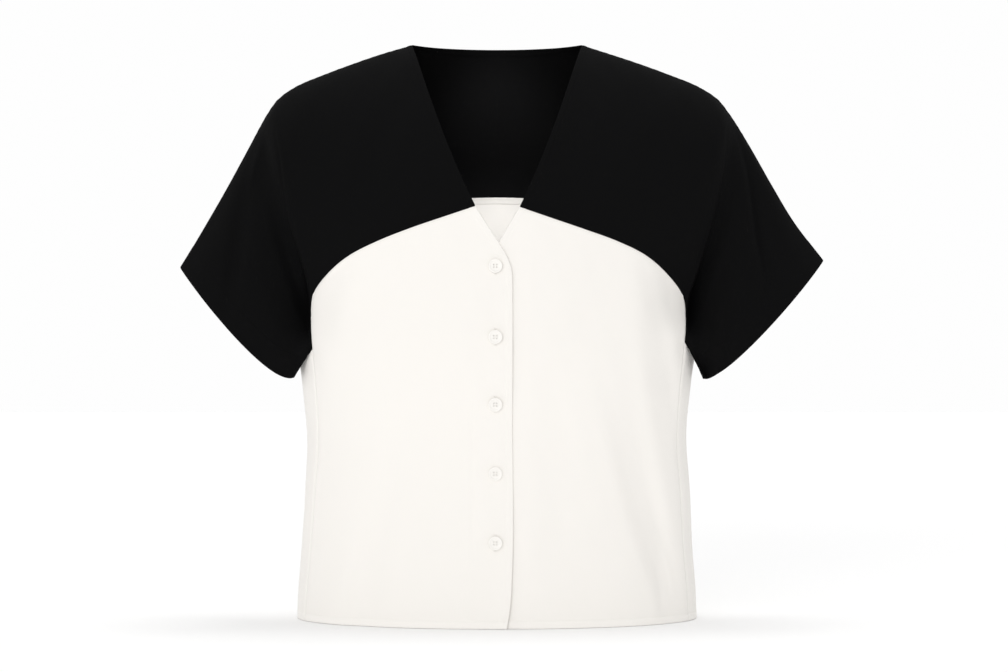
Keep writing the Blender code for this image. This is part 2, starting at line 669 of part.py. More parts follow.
def add_buttons(collection, cutters):
    mesh = turned_button(cutters)
    mesh.materials.append(material(*BUTTON_SHELL))
    mesh.shade_smooth()
    mesh.set_sharp_from_angle(angle=math.radians(35))
    for number, drop in enumerate(BUTTON_DROPS, 1):
        here, outward = front_frame(BUTTON_OUT, drop)
        button = bpy.data.objects.new(f"button_{number}", mesh)
        turn = outward.to_track_quat("Z", "Y").to_matrix().to_4x4()
        button.matrix_world = Matrix.Translation(here + BUTTON_LIFT * outward) @ turn
        collection.objects.link(button)


# ---- Assembly -----------------------------------------------------------------------------------

def material(name, colour, roughness):
    made = bpy.data.materials.get(name)
    if made is None:
        made = bpy.data.materials.new(name)
        made.use_nodes = True
        shader = made.node_tree.nodes["Principled BSDF"]
        shader.inputs["Base Color"].default_value = (*colour, 1.0)
        shader.inputs["Roughness"].default_value = roughness
        made.diffuse_color = (*colour, 1.0)
    return made


def new_collection(name):
    made = bpy.data.collections.new(name)
    bpy.context.scene.collection.children.link(made)
    return made


def cut_pieces():
    ends = ("top", "foot")
    return [
        Piece("front_yoke_right", BLACK_CLOTH, yoke_grid("right", True), -1, ends),
        Piece("front_yoke_left", BLACK_CLOTH, yoke_grid("left", True), -1, ends),
        Piece("back_yoke", BLACK_CLOTH, both_sides(lambda side: yoke_grid(side, False)), 1, ends),
        Piece("front_body_right", IVORY_CLOTH, front_body_grid("right"), -1, ("top", "last")),
        Piece("front_body_left", IVORY_CLOTH, front_body_grid("left"), -1, ("top", "last")),
        Piece("back_body", IVORY_CLOTH, both_sides(back_body_grid), 1, ("top", "first", "last")),
    ]


def main():
    for item in list(bpy.data.objects):
        bpy.data.objects.remove(item)
    garment = new_collection(COLLECTION)
    cutters = new_collection("cutters")

    pieces = cut_pieces()
    groups = meeting_points(pieces)
    share_normals(groups)
    open_seams(pieces, groups)
    for piece in pieces:
        wall_object(piece, garment)
    add_buttons(garment, cutters)


main()
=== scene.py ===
"""The V-neck blouse as it looks: thin cloth with its creases, seams, turned edges and stitches, and
four-hole buttons sewn on with thread, on a white floor in soft light.

+X is the wearer's left, -Y the front and +Z up. All sizes are in metres.
"""

import math

import bmesh
import bpy
import numpy as np
from mathutils import Matrix, Vector


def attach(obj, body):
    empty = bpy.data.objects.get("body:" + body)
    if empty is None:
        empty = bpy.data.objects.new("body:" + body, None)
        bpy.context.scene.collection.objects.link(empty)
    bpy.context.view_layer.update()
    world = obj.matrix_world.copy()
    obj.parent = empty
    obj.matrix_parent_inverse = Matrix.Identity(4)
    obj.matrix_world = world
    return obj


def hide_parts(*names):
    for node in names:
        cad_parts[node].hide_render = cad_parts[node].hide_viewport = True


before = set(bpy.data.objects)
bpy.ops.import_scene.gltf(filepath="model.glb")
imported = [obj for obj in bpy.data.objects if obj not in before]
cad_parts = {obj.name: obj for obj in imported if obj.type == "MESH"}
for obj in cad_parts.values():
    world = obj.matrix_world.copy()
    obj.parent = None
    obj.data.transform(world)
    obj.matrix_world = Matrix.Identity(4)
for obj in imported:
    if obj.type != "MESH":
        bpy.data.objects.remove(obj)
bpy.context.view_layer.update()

# "out" is a distance from the centre line, "drop" a distance below the neck points, and "back" a
# distance behind the plane of the shoulders. "right" and "left" are the wearer's.
SIDES = {"right": -1, "left": 1}

# ---- Cut of the blouse ----

NECK_RISE = 0.015
NECK_HALF_WIDTH = 0.0886
NECK_DEPTH = 0.050
HEM_DROP = 0.588
ROUNDNESS = 0.9
SIDE_SEAM_TURN = 72.0  # degrees from centre front, at the hem
CORNER_RIB = 6
UNDERARM_RIB = 8
CUFF_RIB = 11

RING_COLUMNS = ("drop", "half_width", "front", "back")
RINGS = (
    (0.150, 0.2080, 0.107, 0.096),
    (0.210, 0.2075, 0.112, 0.099),
    (0.270, 0.2060, 0.116, 0.099),
    (0.310, 0.2045, 0.117, 0.097),
    (0.350, 0.1995, 0.115, 0.093),
    (0.405, 0.1952, 0.111, 0.089),
    (0.460, 0.1980, 0.110, 0.093),
    (0.520, 0.2010, 0.112, 0.099),
    (0.560, 0.2040, 0.114, 0.103),
    (0.588, 0.2050, 0.115, 0.105),
)

# Shoulder seam and overarm line, from the neck point (rib 0) to the cuff (rib 11)
SEAM_COLUMNS = ("rib", "right_out", "right_drop", "left_out", "left_drop")
OVERARM = (
    (0, 0.0886, 0.000, 0.0886, 0.000),
    (1, 0.1196, 0.009, 0.1169, 0.009),
    (2, 0.1488, 0.019, 0.1471, 0.019),
    (3, 0.1781, 0.030, 0.1772, 0.030),
    (4, 0.2045, 0.041, 0.2045, 0.041),
    (5, 0.2240, 0.054, 0.2258, 0.054),
    (6, 0.2350, 0.068, 0.2377, 0.068),
    (7, 0.2456, 0.086, 0.2499, 0.086),
    (8, 0.2595, 0.112, 0.2654, 0.112),
    (9, 0.2813, 0.152, 0.2840, 0.145),
    (10, 0.3097, 0.201, 0.3069, 0.183),
    (11, 0.3265, 0.2287, 0.3363, 0.2215),
)

# Seam between the front yoke and the front body, from the V edge (rib 0) to the underarm (rib 8)
FRONT_SEAM = (
    (0, 0.0214, 0.1714, 0.0230, 0.1723),
    (1, 0.0520, 0.1815, 0.0530, 0.1825),
    (2, 0.0850, 0.1925, 0.0860, 0.1935),
    (3, 0.1180, 0.2050, 0.1190, 0.2050),
    (4, 0.1480, 0.2195, 0.1490, 0.2190),
    (5, 0.1710, 0.2378, 0.1725, 0.2380),
    (6, 0.1862, 0.2585, 0.1890, 0.2590),
    (7, 0.1884, 0.2850, 0.1920, 0.2820),
    (8, 0.1866, 0.3129, 0.1903, 0.3058),
)

# Seam between the back yoke and the back body, from centre back (rib -3) almost to the underarm
BACK_SEAM_COLUMNS = ("rib", "turn", "drop")
BACK_SEAM = (
    (-3, 180.0, 0.1530),
    (-2, 175.0, 0.1533),
    (-1, 169.5, 0.1542),
    (0, 163.5, 0.1560),
    (1, 155.5, 0.1595),
    (2, 147.0, 0.1660),
    (3, 138.5, 0.1760),
    (4, 130.0, 0.1920),
    (5, 121.0, 0.2160),
    (6, 111.0, 0.2520),
    (7, 91.0, 0.2930),
)

# Each rib is a curve from the overarm line down to the seam under it, with two handles. "throw" is
# how far the upper handle stands forward of the line, or behind it. "lean" moves a handle along the
# rib, as a share of its length, and "bow" moves it sideways. The lower handle follows the torso by
# "grip", and for the rest stands "hang" behind the seam.
RIB_COLUMNS = ("rib", "throw", "lean_top", "bow_top", "lean_low", "bow_low", "grip", "hang")
FRONT_RIBS = (
    (0, 0.045, 0.08, -0.002, 0.46, 0.008, 1.0, 0.000),
    (1, 0.048, 0.08, 0.000, 0.44, 0.000, 1.0, 0.000),
    (2, 0.050, 0.08, 0.000, 0.42, 0.000, 1.0, 0.000),
    (3, 0.053, 0.08, 0.000, 0.40, 0.000, 0.9, -0.004),
    (4, 0.056, 0.08, 0.000, 0.40, 0.000, 0.7, -0.008),
    (5, 0.058, 0.08, 0.000, 0.42, 0.000, 0.4, -0.012),
    (6, 0.056, 0.08, 0.000, 0.45, 0.004, 0.1, -0.012),
    (7, 0.046, 0.09, 0.000, 0.36, 0.008, 0.0, 0.014),
    (8, 0.044, 0.12, 0.000, 0.22, 0.012, 0.0, 0.004),
    (9, 0.046, 0.16, 0.002, 0.16, 0.020, 0.0, -0.014),
    (10, 0.048, 0.21, 0.004, 0.10, 0.024, 0.0, -0.022),
    (11, 0.050, 0.26, 0.0065, 0.054, 0.022, 0.0, -0.026),
)
BACK_RIBS = (
    (-3, 0.013, 0.24, 0.000, 0.42, 0.000, 1.0, 0.000),
    (-2, 0.018, 0.20, 0.003, 0.42, 0.000, 1.0, 0.000),
    (-1, 0.031, 0.12, 0.008, 0.42, 0.000, 1.0, 0.000),
    (0, 0.055, 0.04, 0.012, 0.42, 0.000, 1.0, 0.000),
    (1, 0.060, 0.05, 0.008, 0.42, 0.000, 1.0, 0.000),
    (2, 0.063, 0.06, 0.003, 0.42, 0.000, 1.0, 0.000),
    (3, 0.064, 0.08, 0.000, 0.42, 0.000, 0.9, 0.002),
    (4, 0.063, 0.08, 0.000, 0.42, 0.000, 0.7, 0.006),
    (5, 0.060, 0.08, 0.000, 0.42, 0.000, 0.4, 0.010),
    (6, 0.057, 0.08, 0.000, 0.42, 0.002, 0.1, 0.012),
    (7, 0.050, 0.09, 0.000, 0.30, 0.014, 0.0, 0.014),
    (8, 0.048, 0.12, 0.000, 0.12, 0.026, 0.0, 0.050),
    (9, 0.047, 0.16, 0.000, 0.12, 0.025, 0.0, 0.054),
    (10, 0.047, 0.20, 0.002, 0.10, 0.024, 0.0, 0.058),
    (11, 0.047, 0.24, 0.004, 0.06, 0.022, 0.0, 0.060),
)
CUFF_CORNER = {"right": (0.2054, -0.038, 0.3416), "left": (0.2095, -0.038, 0.3426)}
UNDERARM_SHARE = {8: 0.0, 9: 0.25, 10: 0.52, 11: 1.0}
CUFF_BOW_LESS = {"right": 0.0, "left": 0.006}

# Centre-front edge of each front. An "out" below 0 is past the centre line.
LAP_COLUMNS = ("row", "drop", "right_out", "left_out")
LAP_EDGE = (
    (3, 0.208, -0.0018, 0.0018),
    (4, 0.218, -0.0082, -0.0045),
    (5, 0.227, -0.0122, -0.0100),
    (6, 0.237, -0.0148, -0.0140),
    (7.5, 0.262, -0.0153, -0.0170),
    (12, 0.380, -0.0152, -0.0175),
    (17.5, 0.530, -0.0151, -0.0175),
    (19, 0.568, -0.0130, -0.0175),
    (20, 0.588, -0.0097, -0.0175),
)
ARMHOLE_ROW = 4  # the rows of LAP_EDGE reach the underarm here
LAST_ROW = 20
LAP_SINK = 0.0014
LAP_SINK_OUT = (0.0165, 0.036)
LAP_SINK_DROP = (0.180, 0.204)

# ---- Creases ----

# Each crease has its sides' widths, towards the centre line and away from it, and its places from
# the top down: how deep it presses the cloth in there, or stands out where "deep" is below 0. The
# side away from the centre line is "spread" times as wide there, or once where that isn't given.
CREASE_COLUMNS = ("drop", "out", "deep", "spread")
FRONT_CREASES = (
    # where the yoke turns over into the sleeve, sharp on the side of the chest
    ("right", 0.0014, 0.012, (
        (0.085, 0.228, 0, 0.4), (0.11, 0.2215, 0.0011, 0.6), (0.146, 0.2162, 0.003, 0.8),
        (0.185, 0.2105, 0.0068, 1), (0.211, 0.203, 0.012, 1.15), (0.249, 0.193, 0.0195, 1.5),
        (0.275, 0.191, 0.0225, 1.8), (0.3, 0.191, 0.0135, 2), (0.338, 0.194, 0, 2),
    )),
    ("left", 0.0014, 0.012, (
        (0.066, 0.24, 0, 0.4), (0.082, 0.236, 0.0006, 0.5), (0.12, 0.2325, 0.0021, 0.65),
        (0.158, 0.2253, 0.0042, 0.7), (0.201, 0.215, 0.008, 0.8), (0.229, 0.2067, 0.013, 0.95),
        (0.262, 0.197, 0.02, 1.2), (0.284, 0.195, 0.02, 1.45), (0.3, 0.195, 0.0125, 1.7),
        (0.335, 0.198, 0, 1.7),
    )),
    # down the sleeves
    ("right", 0.008, 0.009, (
        (0.135, 0.254, 0, 0.6), (0.17, 0.261, 0.003, 0.8), (0.205, 0.265, 0.0056, 1),
        (0.24, 0.269, 0.0052, 1), (0.27, 0.273, 0.0026, 1), (0.295, 0.276, 0, 1),
    )),
    ("left", 0.003, 0.013, (
        (0.082, 0.244, 0, 0.3), (0.1, 0.249, 0.0012, 0.4), (0.132, 0.257, 0.0042, 0.6),
        (0.165, 0.262, 0.0075, 0.8), (0.2, 0.266, 0.008, 1), (0.235, 0.2715, 0.0052, 1.1),
        (0.272, 0.2755, 0, 1),
    )),
    ("right", 0.0036, 0.004, (
        (0.092, 0.24, 0), (0.108, 0.2425, -0.0012), (0.13, 0.249, -0.0016),
        (0.15, 0.2525, -0.0008), (0.168, 0.254, 0),
    )),
    ("left", 0.008, 0.008, (
        (0.15, 0.274, 0), (0.18, 0.279, 0.0014), (0.215, 0.2845, 0.0012), (0.24, 0.289, 0),
    )),
    ("right", 0.006, 0.007, (
        (0.11, 0.233, 0), (0.14, 0.237, 0.0009), (0.165, 0.24, 0.0006), (0.19, 0.242, 0),
    )),
    # on the front yokes
    ("left", 0.011, 0.013, (
        (0.03, 0.086, 0), (0.06, 0.0825, 0.0018), (0.095, 0.079, 0.0022), (0.13, 0.074, 0.001),
        (0.16, 0.072, 0),
    )),
    ("right", 0.013, 0.015, (
        (0.05, 0.118, 0), (0.09, 0.124, 0.001), (0.13, 0.127, 0.0012), (0.175, 0.123, 0),
    )),
    ("left", 0.016, 0.02, (
        (0.09, 0.15, 0), (0.125, 0.148, 0.0012), (0.165, 0.142, 0.001), (0.205, 0.14, 0),
    )),
    # on the front bodies
    ("left", 0.029, 0.02, (
        (0.205, 0.176, 0, 0.8), (0.245, 0.185, 0.009, 1), (0.288, 0.192, 0.018, 1),
        (0.33, 0.199, 0.022, 1), (0.372, 0.206, 0.022, 1), (0.43, 0.216, 0.017, 1),
        (0.5, 0.224, 0.008, 0.8), (0.588, 0.228, 0.004, 0.8),
    )),
    ("left", 0.012, 0.011, (
        (0.225, 0.134, 0), (0.262, 0.138, -0.0012), (0.31, 0.144, -0.0016),
        (0.364, 0.154, -0.0014), (0.43, 0.17, -0.0008), (0.49, 0.182, 0),
    )),
    ("left", 0.024, 0.017, (
        (0.345, 0.128, 0, 0.8), (0.4, 0.135, 0.0036, 1), (0.45, 0.147, 0.006, 1),
        (0.5, 0.162, 0.0078, 1), (0.545, 0.176, 0.007, 1), (0.588, 0.188, 0.0042, 0.9),
    )),
    ("left", 0.012, 0.012, (
        (0.35, 0.103, 0), (0.4, 0.109, -0.001), (0.46, 0.124, -0.0014), (0.516, 0.14, -0.0016),
        (0.56, 0.158, -0.0012), (0.588, 0.168, -0.0006),
    )),
    ("left", 0.004, 0.006, (
        (0.505, 0.165, 0), (0.53, 0.173, -0.0012), (0.556, 0.179, -0.001), (0.58, 0.185, 0),
    )),
    ("left", 0.004, 0.005, (
        (0.52, 0.156, 0), (0.54, 0.162, 0.001), (0.56, 0.164, 0.0012), (0.584, 0.165, 0),
    )),
    ("left", 0.016, 0.018, (
        (0.33, 0.06, 0), (0.4, 0.064, 0.0012), (0.48, 0.06, 0.0014), (0.56, 0.058, 0),
    )),
    ("right", 0.026, 0.02, (
        (0.21, 0.174, 0), (0.25, 0.182, 0.0032), (0.3, 0.188, 0.0052), (0.36, 0.193, 0.0054),
        (0.44, 0.198, 0.0048), (0.52, 0.201, 0.004), (0.588, 0.203, 0.003),
    )),
    ("right", 0.017, 0.016, (
        (0.33, 0.098, 0), (0.39, 0.102, 0.0014), (0.45, 0.111, 0.003), (0.516, 0.124, 0.004),
        (0.566, 0.129, 0.0034), (0.588, 0.13, 0.0026),
    )),
    ("right", 0.007, 0.008, (
        (0.47, 0.136, 0), (0.52, 0.137, 0.0012), (0.56, 0.14, 0.0014), (0.588, 0.141, 0.001),
    )),
    ("right", 0.013, 0.015, (
        (0.4, 0.066, 0), (0.46, 0.069, 0.001), (0.52, 0.068, 0.0011), (0.575, 0.066, 0),
    )),
)
BACK_CREASES = (
    ("right", 0.005, 0.022, (
        (0.09, 0.23, 0, 0.3), (0.12, 0.225, 0.0022, 0.5), (0.16, 0.219, 0.0055, 0.7),
        (0.205, 0.208, 0.0085, 1), (0.24, 0.198, 0.007, 1), (0.285, 0.19, 0, 1),
    )),
    ("left", 0.0045, 0.02, (
        (0.08, 0.238, 0, 0.3), (0.115, 0.232, 0.0025, 0.4), (0.155, 0.225, 0.0055, 0.7),
        (0.2, 0.213, 0.009, 1), (0.235, 0.203, 0.008, 1), (0.28, 0.194, 0, 1),
    )),
    ("right", 0.01, 0.013, (
        (0.14, 0.26, 0, 0.7), (0.18, 0.267, 0.0035, 0.8), (0.225, 0.269, 0.0042, 1),
        (0.262, 0.266, 0.0022, 1), (0.29, 0.265, 0, 1),
    )),
    ("left", 0.007, 0.012, (
        (0.125, 0.258, 0, 0.6), (0.165, 0.269, 0.0036, 0.8), (0.205, 0.275, 0.0046, 1),
        (0.245, 0.278, 0.002, 1), (0.27, 0.278, 0, 1),
    )),
    ("right", 0.008, 0.01, (
        (0.17, 0.24, 0), (0.21, 0.235, -0.0014), (0.25, 0.23, -0.0014), (0.295, 0.224, 0),
    )),
    ("left", 0.008, 0.01, (
        (0.165, 0.246, 0), (0.2, 0.243, -0.0013), (0.25, 0.237, -0.0016), (0.3, 0.23, 0),
    )),
    ("right", 0.012, 0.014, (
        (0.045, 0.096, 0), (0.08, 0.101, 0.0021), (0.11, 0.104, 0.0018), (0.145, 0.102, 0),
    )),
    ("left", 0.012, 0.015, (
        (0.05, 0.118, 0), (0.085, 0.124, 0.0021), (0.12, 0.125, 0.0023), (0.16, 0.121, 0),
    )),
    ("right", 0.012, 0.024, (
        (0.205, 0.126, 0, 0.6), (0.25, 0.118, 0.0045, 0.8), (0.31, 0.107, 0.0087, 1),
        (0.38, 0.106, 0.0083, 1), (0.44, 0.111, 0.0045, 1), (0.5, 0.115, 0, 0.8),
    )),
    ("left", 0.011, 0.026, (
        (0.215, 0.134, 0, 0.6), (0.27, 0.124, 0.0051, 0.8), (0.345, 0.112, 0.0093, 1),
        (0.42, 0.106, 0.0075, 1), (0.48, 0.104, 0.0039, 1), (0.54, 0.104, 0, 0.8),
    )),
    ("right", 0.014, 0.018, (
        (0.33, 0.044, 0), (0.4, 0.049, 0.0045), (0.47, 0.055, 0.0069), (0.54, 0.061, 0.0063),
        (0.588, 0.064, 0.0045),
    )),
    ("left", 0.015, 0.02, (
        (0.37, 0.062, 0), (0.43, 0.056, 0.0042), (0.5, 0.053, 0.0063), (0.56, 0.057, 0.0051),
        (0.588, 0.059, 0.0036),
    )),
    ("right", 0.01, 0.012, (
        (0.35, 0.15, 0), (0.42, 0.146, 0.0033), (0.5, 0.148, 0.0039), (0.56, 0.152, 0.0027),
        (0.588, 0.153, 0.0018),
    )),
    ("left", 0.009, 0.012, (
        (0.4, 0.146, 0), (0.46, 0.151, 0.0033), (0.52, 0.152, 0.0036), (0.565, 0.149, 0.0021),
        (0.588, 0.148, 0.0015),
    )),
    ("right", 0.015, 0.015, (
        (0.18, 0.011, 0), (0.24, 0.014, 0.0024), (0.3, 0.011, 0.0021), (0.36, 0.007, 0),
    )),
)
FOLD_EDGE_SHARE = 0.14  # share of a rib over which a fold fades towards the overarm line
FOLD_FOOT_SHARE = 0.07  # and towards the seam under the sleeve
FOLD_SIDE_DROP = (0.290, 0.330)
FOLD_SIDE_RIBS = 1.5  # a front's folds die away over this much of its width at the side seam
FOLD_BEHIND = (0.004, 0.030)
FOLDED_EDGE = 0.0035  # a crease with a narrower inner side is a folded edge, steepest beside it
UNDERARM_CALM = (0.005, 0.024)  # folded edges die away so near to the underarm
UNDERARM_CALM_WIDE = (0.004, 0.052)  # and the softer creases so near

# Long soft waves of the cloth: height, and waves per metre across, down and through, with a start
WAVE_COLUMNS = ("height", "across", "down", "through", "start")
WAVES = (
    (0.00028, 9.1, 3.2, 5.3, 0.7),
    (0.00022, -13.7, 5.1, 8.8, 2.1),
    (0.00018, 21.3, -7.4, -11.9, 4.0),
    (0.00012, 33.1, 11.7, 17.3, 5.2),
)
WAVE_CALM = 0.012  # the waves die away so near to a piece's edges

# ---- Sewing ----

CLOTH = 0.0005
DITCH_DEEP = 0.0006  # the cloth dips into a seam
DITCH_WIDE = 0.0016
PUCKER = 0.00016  # small waves beside a seam
PUCKER_RISE = 0.0016
PUCKER_FALL = 0.0024
PUCKER_REACH = 0.007
GATHER_COLUMNS = ("height", "long", "stray", "stray_rate")
GATHERS = (
    (1.0, 0.0083, 1.7, 61.0),
    (0.6, 0.0131, 2.3, 37.0),
)

# Turned edges: how wide the turned cloth is, and between which distances its doubling ends
EDGE_BAND = 0.0045  # of the neck and the V
HEM_BAND = 0.0070
CUFF_BAND = 0.0250
LAP_BAND = 0.0060
BAND_LIFT = 0.00030  # doubled cloth stands out this much
BAND_SLOPE = (-0.0004, 0.0006)
STITCH_GROOVE = 0.00016  # along the stitches of the hem and the back neck
V_GROOVE = 0.00004
CUFF_GROOVE = 0.0001
LAP_GROOVE = 0.00006
GROOVE_WIDE = 0.0005
NECK_LAYERS = 1.2  # of cloth turned in at the neck and the V
NECK_TURNED = (0.006, 0.0065)
CUFF_TURNED = (CUFF_BAND, CUFF_BAND + 0.001)
HEM_TURNED = (HEM_BAND, HEM_BAND + 0.0006)
NECK_RIBS_END = (-0.02, 0.0)  # the back neckline ends at the neck point, rib 0
NECK_STITCHED_TO = -0.05

LAP_STANDS = 0.0012  # the lower end of the upper front stands off the one under it
LAP_STANDS_WIDE = 0.014
LAP_STANDS_DROP = (0.49, 0.56)

FACING_WIDE = 0.0405  # the front facing, whose edge shows on the upper front as a faint line
FACED = (FACING_WIDE, FACING_WIDE + 0.001)
FACING_GROOVE = 0.00034
FACING_GROOVE_WIDE = 0.0017
FACING_SHOWS = ((0.33, 0.40), (0.50, 0.54))  # drops between which the line comes and goes

TURNING_STEPS = (0.0, 0.0016, 0.0034, 0.0050, 0.0060)  # seam turnings inside, across their width
TURNING_BEYOND = 0.0012  # they reach past the seam
TURNING_LIFT = 0.0001
TURNING_END = -0.0002  # their free edge is pressed into the cloth
TURNING_THIN = -0.4  # thinner than the cloth, as they are pressed flat

STITCH_LONG = 0.0021
STITCH_PITCH = 0.0027
STITCH_WIDE = 0.00034
STITCH_SIDES = 6
# Along a stitch, as shares: of its length, and of its width for its thickness and its height
STITCH_PROFILE = ((0.0, 0.35, -0.25), (0.22, 1.0, 0.35), (0.78, 1.0, 0.35), (1.0, 0.35, -0.25))

# Columns of the grid along which the hem is stitched and the back body's seam turning runs
HEM_STITCHED = slice(2, -2)
BACK_TURNED = slice(3, -3)

# ---- Buttons ----

BUTTON_OUT = -0.0013
BUTTON_DROPS = (0.2308, 0.3007, 0.3672, 0.4356, 0.5041)
BUTTON_RADIUS = 0.0070
BUTTON_THICK = 0.0026
BUTTON_RIM = 0.0014
BUTTON_SLOPE = 0.0010
BUTTON_DISH = 0.0005
BUTTON_HOLE_RADIUS = 0.0007
BUTTON_HOLE_PITCH = 0.0026
BUTTON_SIDES = 64
BUTTON_HOLE_SIDES = 20
BUTTON_ROUNDING = 0.0005
ROUNDED_FROM = 25.0  # degrees between two faces whose edge is rounded
BUTTON_SHARP_FROM = 40.0  # and between two that stay sharp
SHARP_FROM = 50.0
ALONG_AXIS = 0.9  # a face looks along an axis where that part of its normal is larger
BUTTON_LIFT = 0.0002
THREAD_RADIUS = 0.00026
THREAD_SIDES = 10
THREAD_APART = 0.8  # two strands lie side by side, each this share of a radius off the middle
THREAD_ENDS = ((0.0003, -0.0004), (0.00005, -0.0012))  # along and down, into the hole
BUTTONHOLE_LONG = 0.0165
BUTTONHOLE_WIDE = 0.0024
BUTTONHOLE_BAR = 0.0008
BUTTONHOLE_THICK = 0.0005
BUTTONHOLE_ROUNDING = 0.0002
BUTTONHOLE_LIFT = 0.0001

# ---- Colours and light ----

BLACK = (0.0031, 0.0031, 0.0033)
IVORY = (0.928, 0.900, 0.858)
IVORY_DOUBLED = (0.945, 0.919, 0.879)
SHELL = (0.908, 0.883, 0.842)

CLOTH_COLUMNS = (
    "colour", "doubled", "roughness", "gloss", "sheen", "weave_height", "crepe_height",
)
BLACK_CREPE = (BLACK, BLACK, 0.85, 0.06, 0.0, 0.00006, 0.00010)
IVORY_CREPE = (IVORY, IVORY_DOUBLED, 0.85, 0.2, 0.20, 0.00005, 0.00008)
SHEEN_ROUGHNESS = 0.5
WEAVE_SCALE, WEAVE_STRAY = 480.0, 1.5
CREPE_NOISE = (700.0, 4.0, 0.6)  # scale, detail and roughness
BUTTON_ROUGHNESS = 0.35
BUTTON_COAT, BUTTON_COAT_ROUGHNESS = 0.15, 0.15
THREAD_ROUGHNESS = 0.6

ROOM_LIGHT = 0.70
FLOOR_GLOW = 0.035
SPOT_RADIUS = 0.03
BACKDROP_WHITE = 0.99
FLOOR_WHITE = (0.97, 0.97, 0.97)
FLOOR_ROUGHNESS = 0.95
WHITE = (1.0, 1.0, 1.0, 1.0)
LIGHT_ABOVE_FROM, LIGHT_ABOVE_SPREAD, LIGHT_ABOVE = (0.06, 0.19, 1.0), 28.0, 0.86
LIGHT_FRONT_FROM, LIGHT_FRONT_SPREAD, LIGHT_FRONT = (-0.32, -0.93, 0.16), 40.0, 0.85
SPOT_COLUMNS = ("place", "aim", "cone", "power")  # two small lamps in the neck opening
SPOTS = {
    "light_neck": ((0.0, -0.050, -0.010), (0.0, 0.095, -0.060), 66.0, 0.62),
    "light_inside": ((0.0, -0.050, -0.110), (0.0, 0.095, -0.205), 72.0, 0.88),
}

CAMERA_PLACE = (0.0072, -2.6, -0.2847)
CAMERA_LENS = 90.15
FLOOR_RISE = -0.5737
FLOOR_SIZE = 14.0


# ---- Reading the tables ----

def column(rows, names, name):
    return np.array([row[names.index(name)] for row in rows], float)


def read(keys, values, at):
    """The value at a place between the keys, on a smooth curve through all of them."""
    keys = np.asarray(keys, float)
    values = np.asarray(values, float)
    at = np.asarray(at, float)
    slopes = np.gradient(values, keys)
    k = np.clip(np.searchsorted(keys, at, side="right") - 1, 0, len(keys) - 2)
    span = keys[k + 1] - keys[k]
    t = (at - keys[k]) / span
    start = values[k] * (1 + 2 * t) * (1 - t) ** 2 + slopes[k] * span * t * (1 - t) ** 2
    end = values[k + 1] * t * t * (3 - 2 * t) + slopes[k + 1] * span * t * t * (t - 1)
    return start + end


def read_table(rows, names, name, at):
    return read(column(rows, names, names[0]), column(rows, names, name), at)


def smooth(value, low, high):
    """0 below low, 1 above high, and a soft step between them."""
    t = np.clip((np.asarray(value, float) - low) / (high - low), 0.0, 1.0)
    return t * t * (3 - 2 * t)


def bump(value, wide):
    return np.exp(-((value / wide) ** 2))


def near_edge(away, ends):
    """1 nearer to an edge than the first distance, and 0 past the second."""
    return 1 - smooth(away, *ends)


def places(*stretches):
    """Places along a grid, from stretches of (start, end, steps) that follow each other."""
    found = [np.linspace(start, end, steps + 1)[1:] for start, end, steps in stretches]
    return np.concatenate([[stretches[0][0]]] + found)


# The cloth is divided finely at its seams and turned edges, and more widely between them.
RIBS_TO_CORNER = (
    (0.0, 0.2, 9), (0.2, 0.8, 8), (0.8, 1.3, 13), (1.3, 4.0, 29), (4.0, 5.8, 44), (5.8, 6.0, 5),
)
RIBS_TO_UNDERARM = ((6.0, 7.0, 26), (7.0, 8.0, 26))
RIBS_TO_CUFF = ((8.0, 9.8, 34), (9.8, 10.2, 10), (10.2, 10.8, 8), (10.8, 11.0, 8))
RIBS_FROM_CENTRE_BACK = ((-3.0, 0.0, 34),)
YOKE_SHARES = places((0.0, 0.03, 6), (0.03, 0.97, 78), (0.97, 1.0, 6))
SKIRT_SHARES = places((0.0, 0.025, 7), (0.025, 0.965, 96), (0.965, 1.0, 14))


# ---- Torso ----

def ring(drop):
    return [read_table(RINGS, RING_COLUMNS, name, drop) for name in RING_COLUMNS[1:]]


def torso_back(out, drop, front):
    """How far back the torso's surface lies at a place seen from the front or from behind."""
    half_width, ahead, behind = ring(drop)
    share = np.clip(1 - (out / half_width) ** 2, 0.0, 1.0) ** (ROUNDNESS / 2)
    return -ahead * share if front else behind * share


def torso_point(turn, drop):
    """(out, back, drop) at an angle from centre front (0) round to centre back (180)."""
    half_width, ahead, behind = ring(drop)
    cosine = np.cos(np.radians(turn))
    out = half_width * np.sin(np.radians(turn))
    back = np.where(cosine > 0, -ahead, behind) * np.abs(cosine) ** ROUNDNESS
    return np.stack([out, back, drop + 0 * turn], axis=-1)


def turn_of(out, drop):
    """The front angle at which the torso is this far out."""
    return np.degrees(np.arcsin(np.clip(out / ring(drop)[0], -1.0, 1.0)))


def placed(side, point):
    """World coordinates of (out, back, drop)."""
    out, back, drop = np.moveaxis(np.asarray(point, float), -1, 0)
    return np.stack([SIDES[side] * out, back, NECK_RISE - drop], axis=-1)


# ---- Seam lines ----

def seam_place(rows, side, rib):
    """(out, drop) of the overarm line or the front yoke's seam."""
    return [read_table(rows, SEAM_COLUMNS, side + name, rib) for name in ("_out", "_drop")]


def neckline_point(rib):
    """Half of the back neckline, an arc: rib -3 is centre back and rib 0 the neck point."""
    radius = (NECK_HALF_WIDTH ** 2 + NECK_DEPTH ** 2) / (2 * NECK_DEPTH)
    angle = math.asin(NECK_HALF_WIDTH / radius) * (1 - rib / BACK_RIBS[0][0])
    back = radius * math.cos(angle) - radius + NECK_DEPTH
    return np.array([radius * math.sin(angle), back, 0.0])


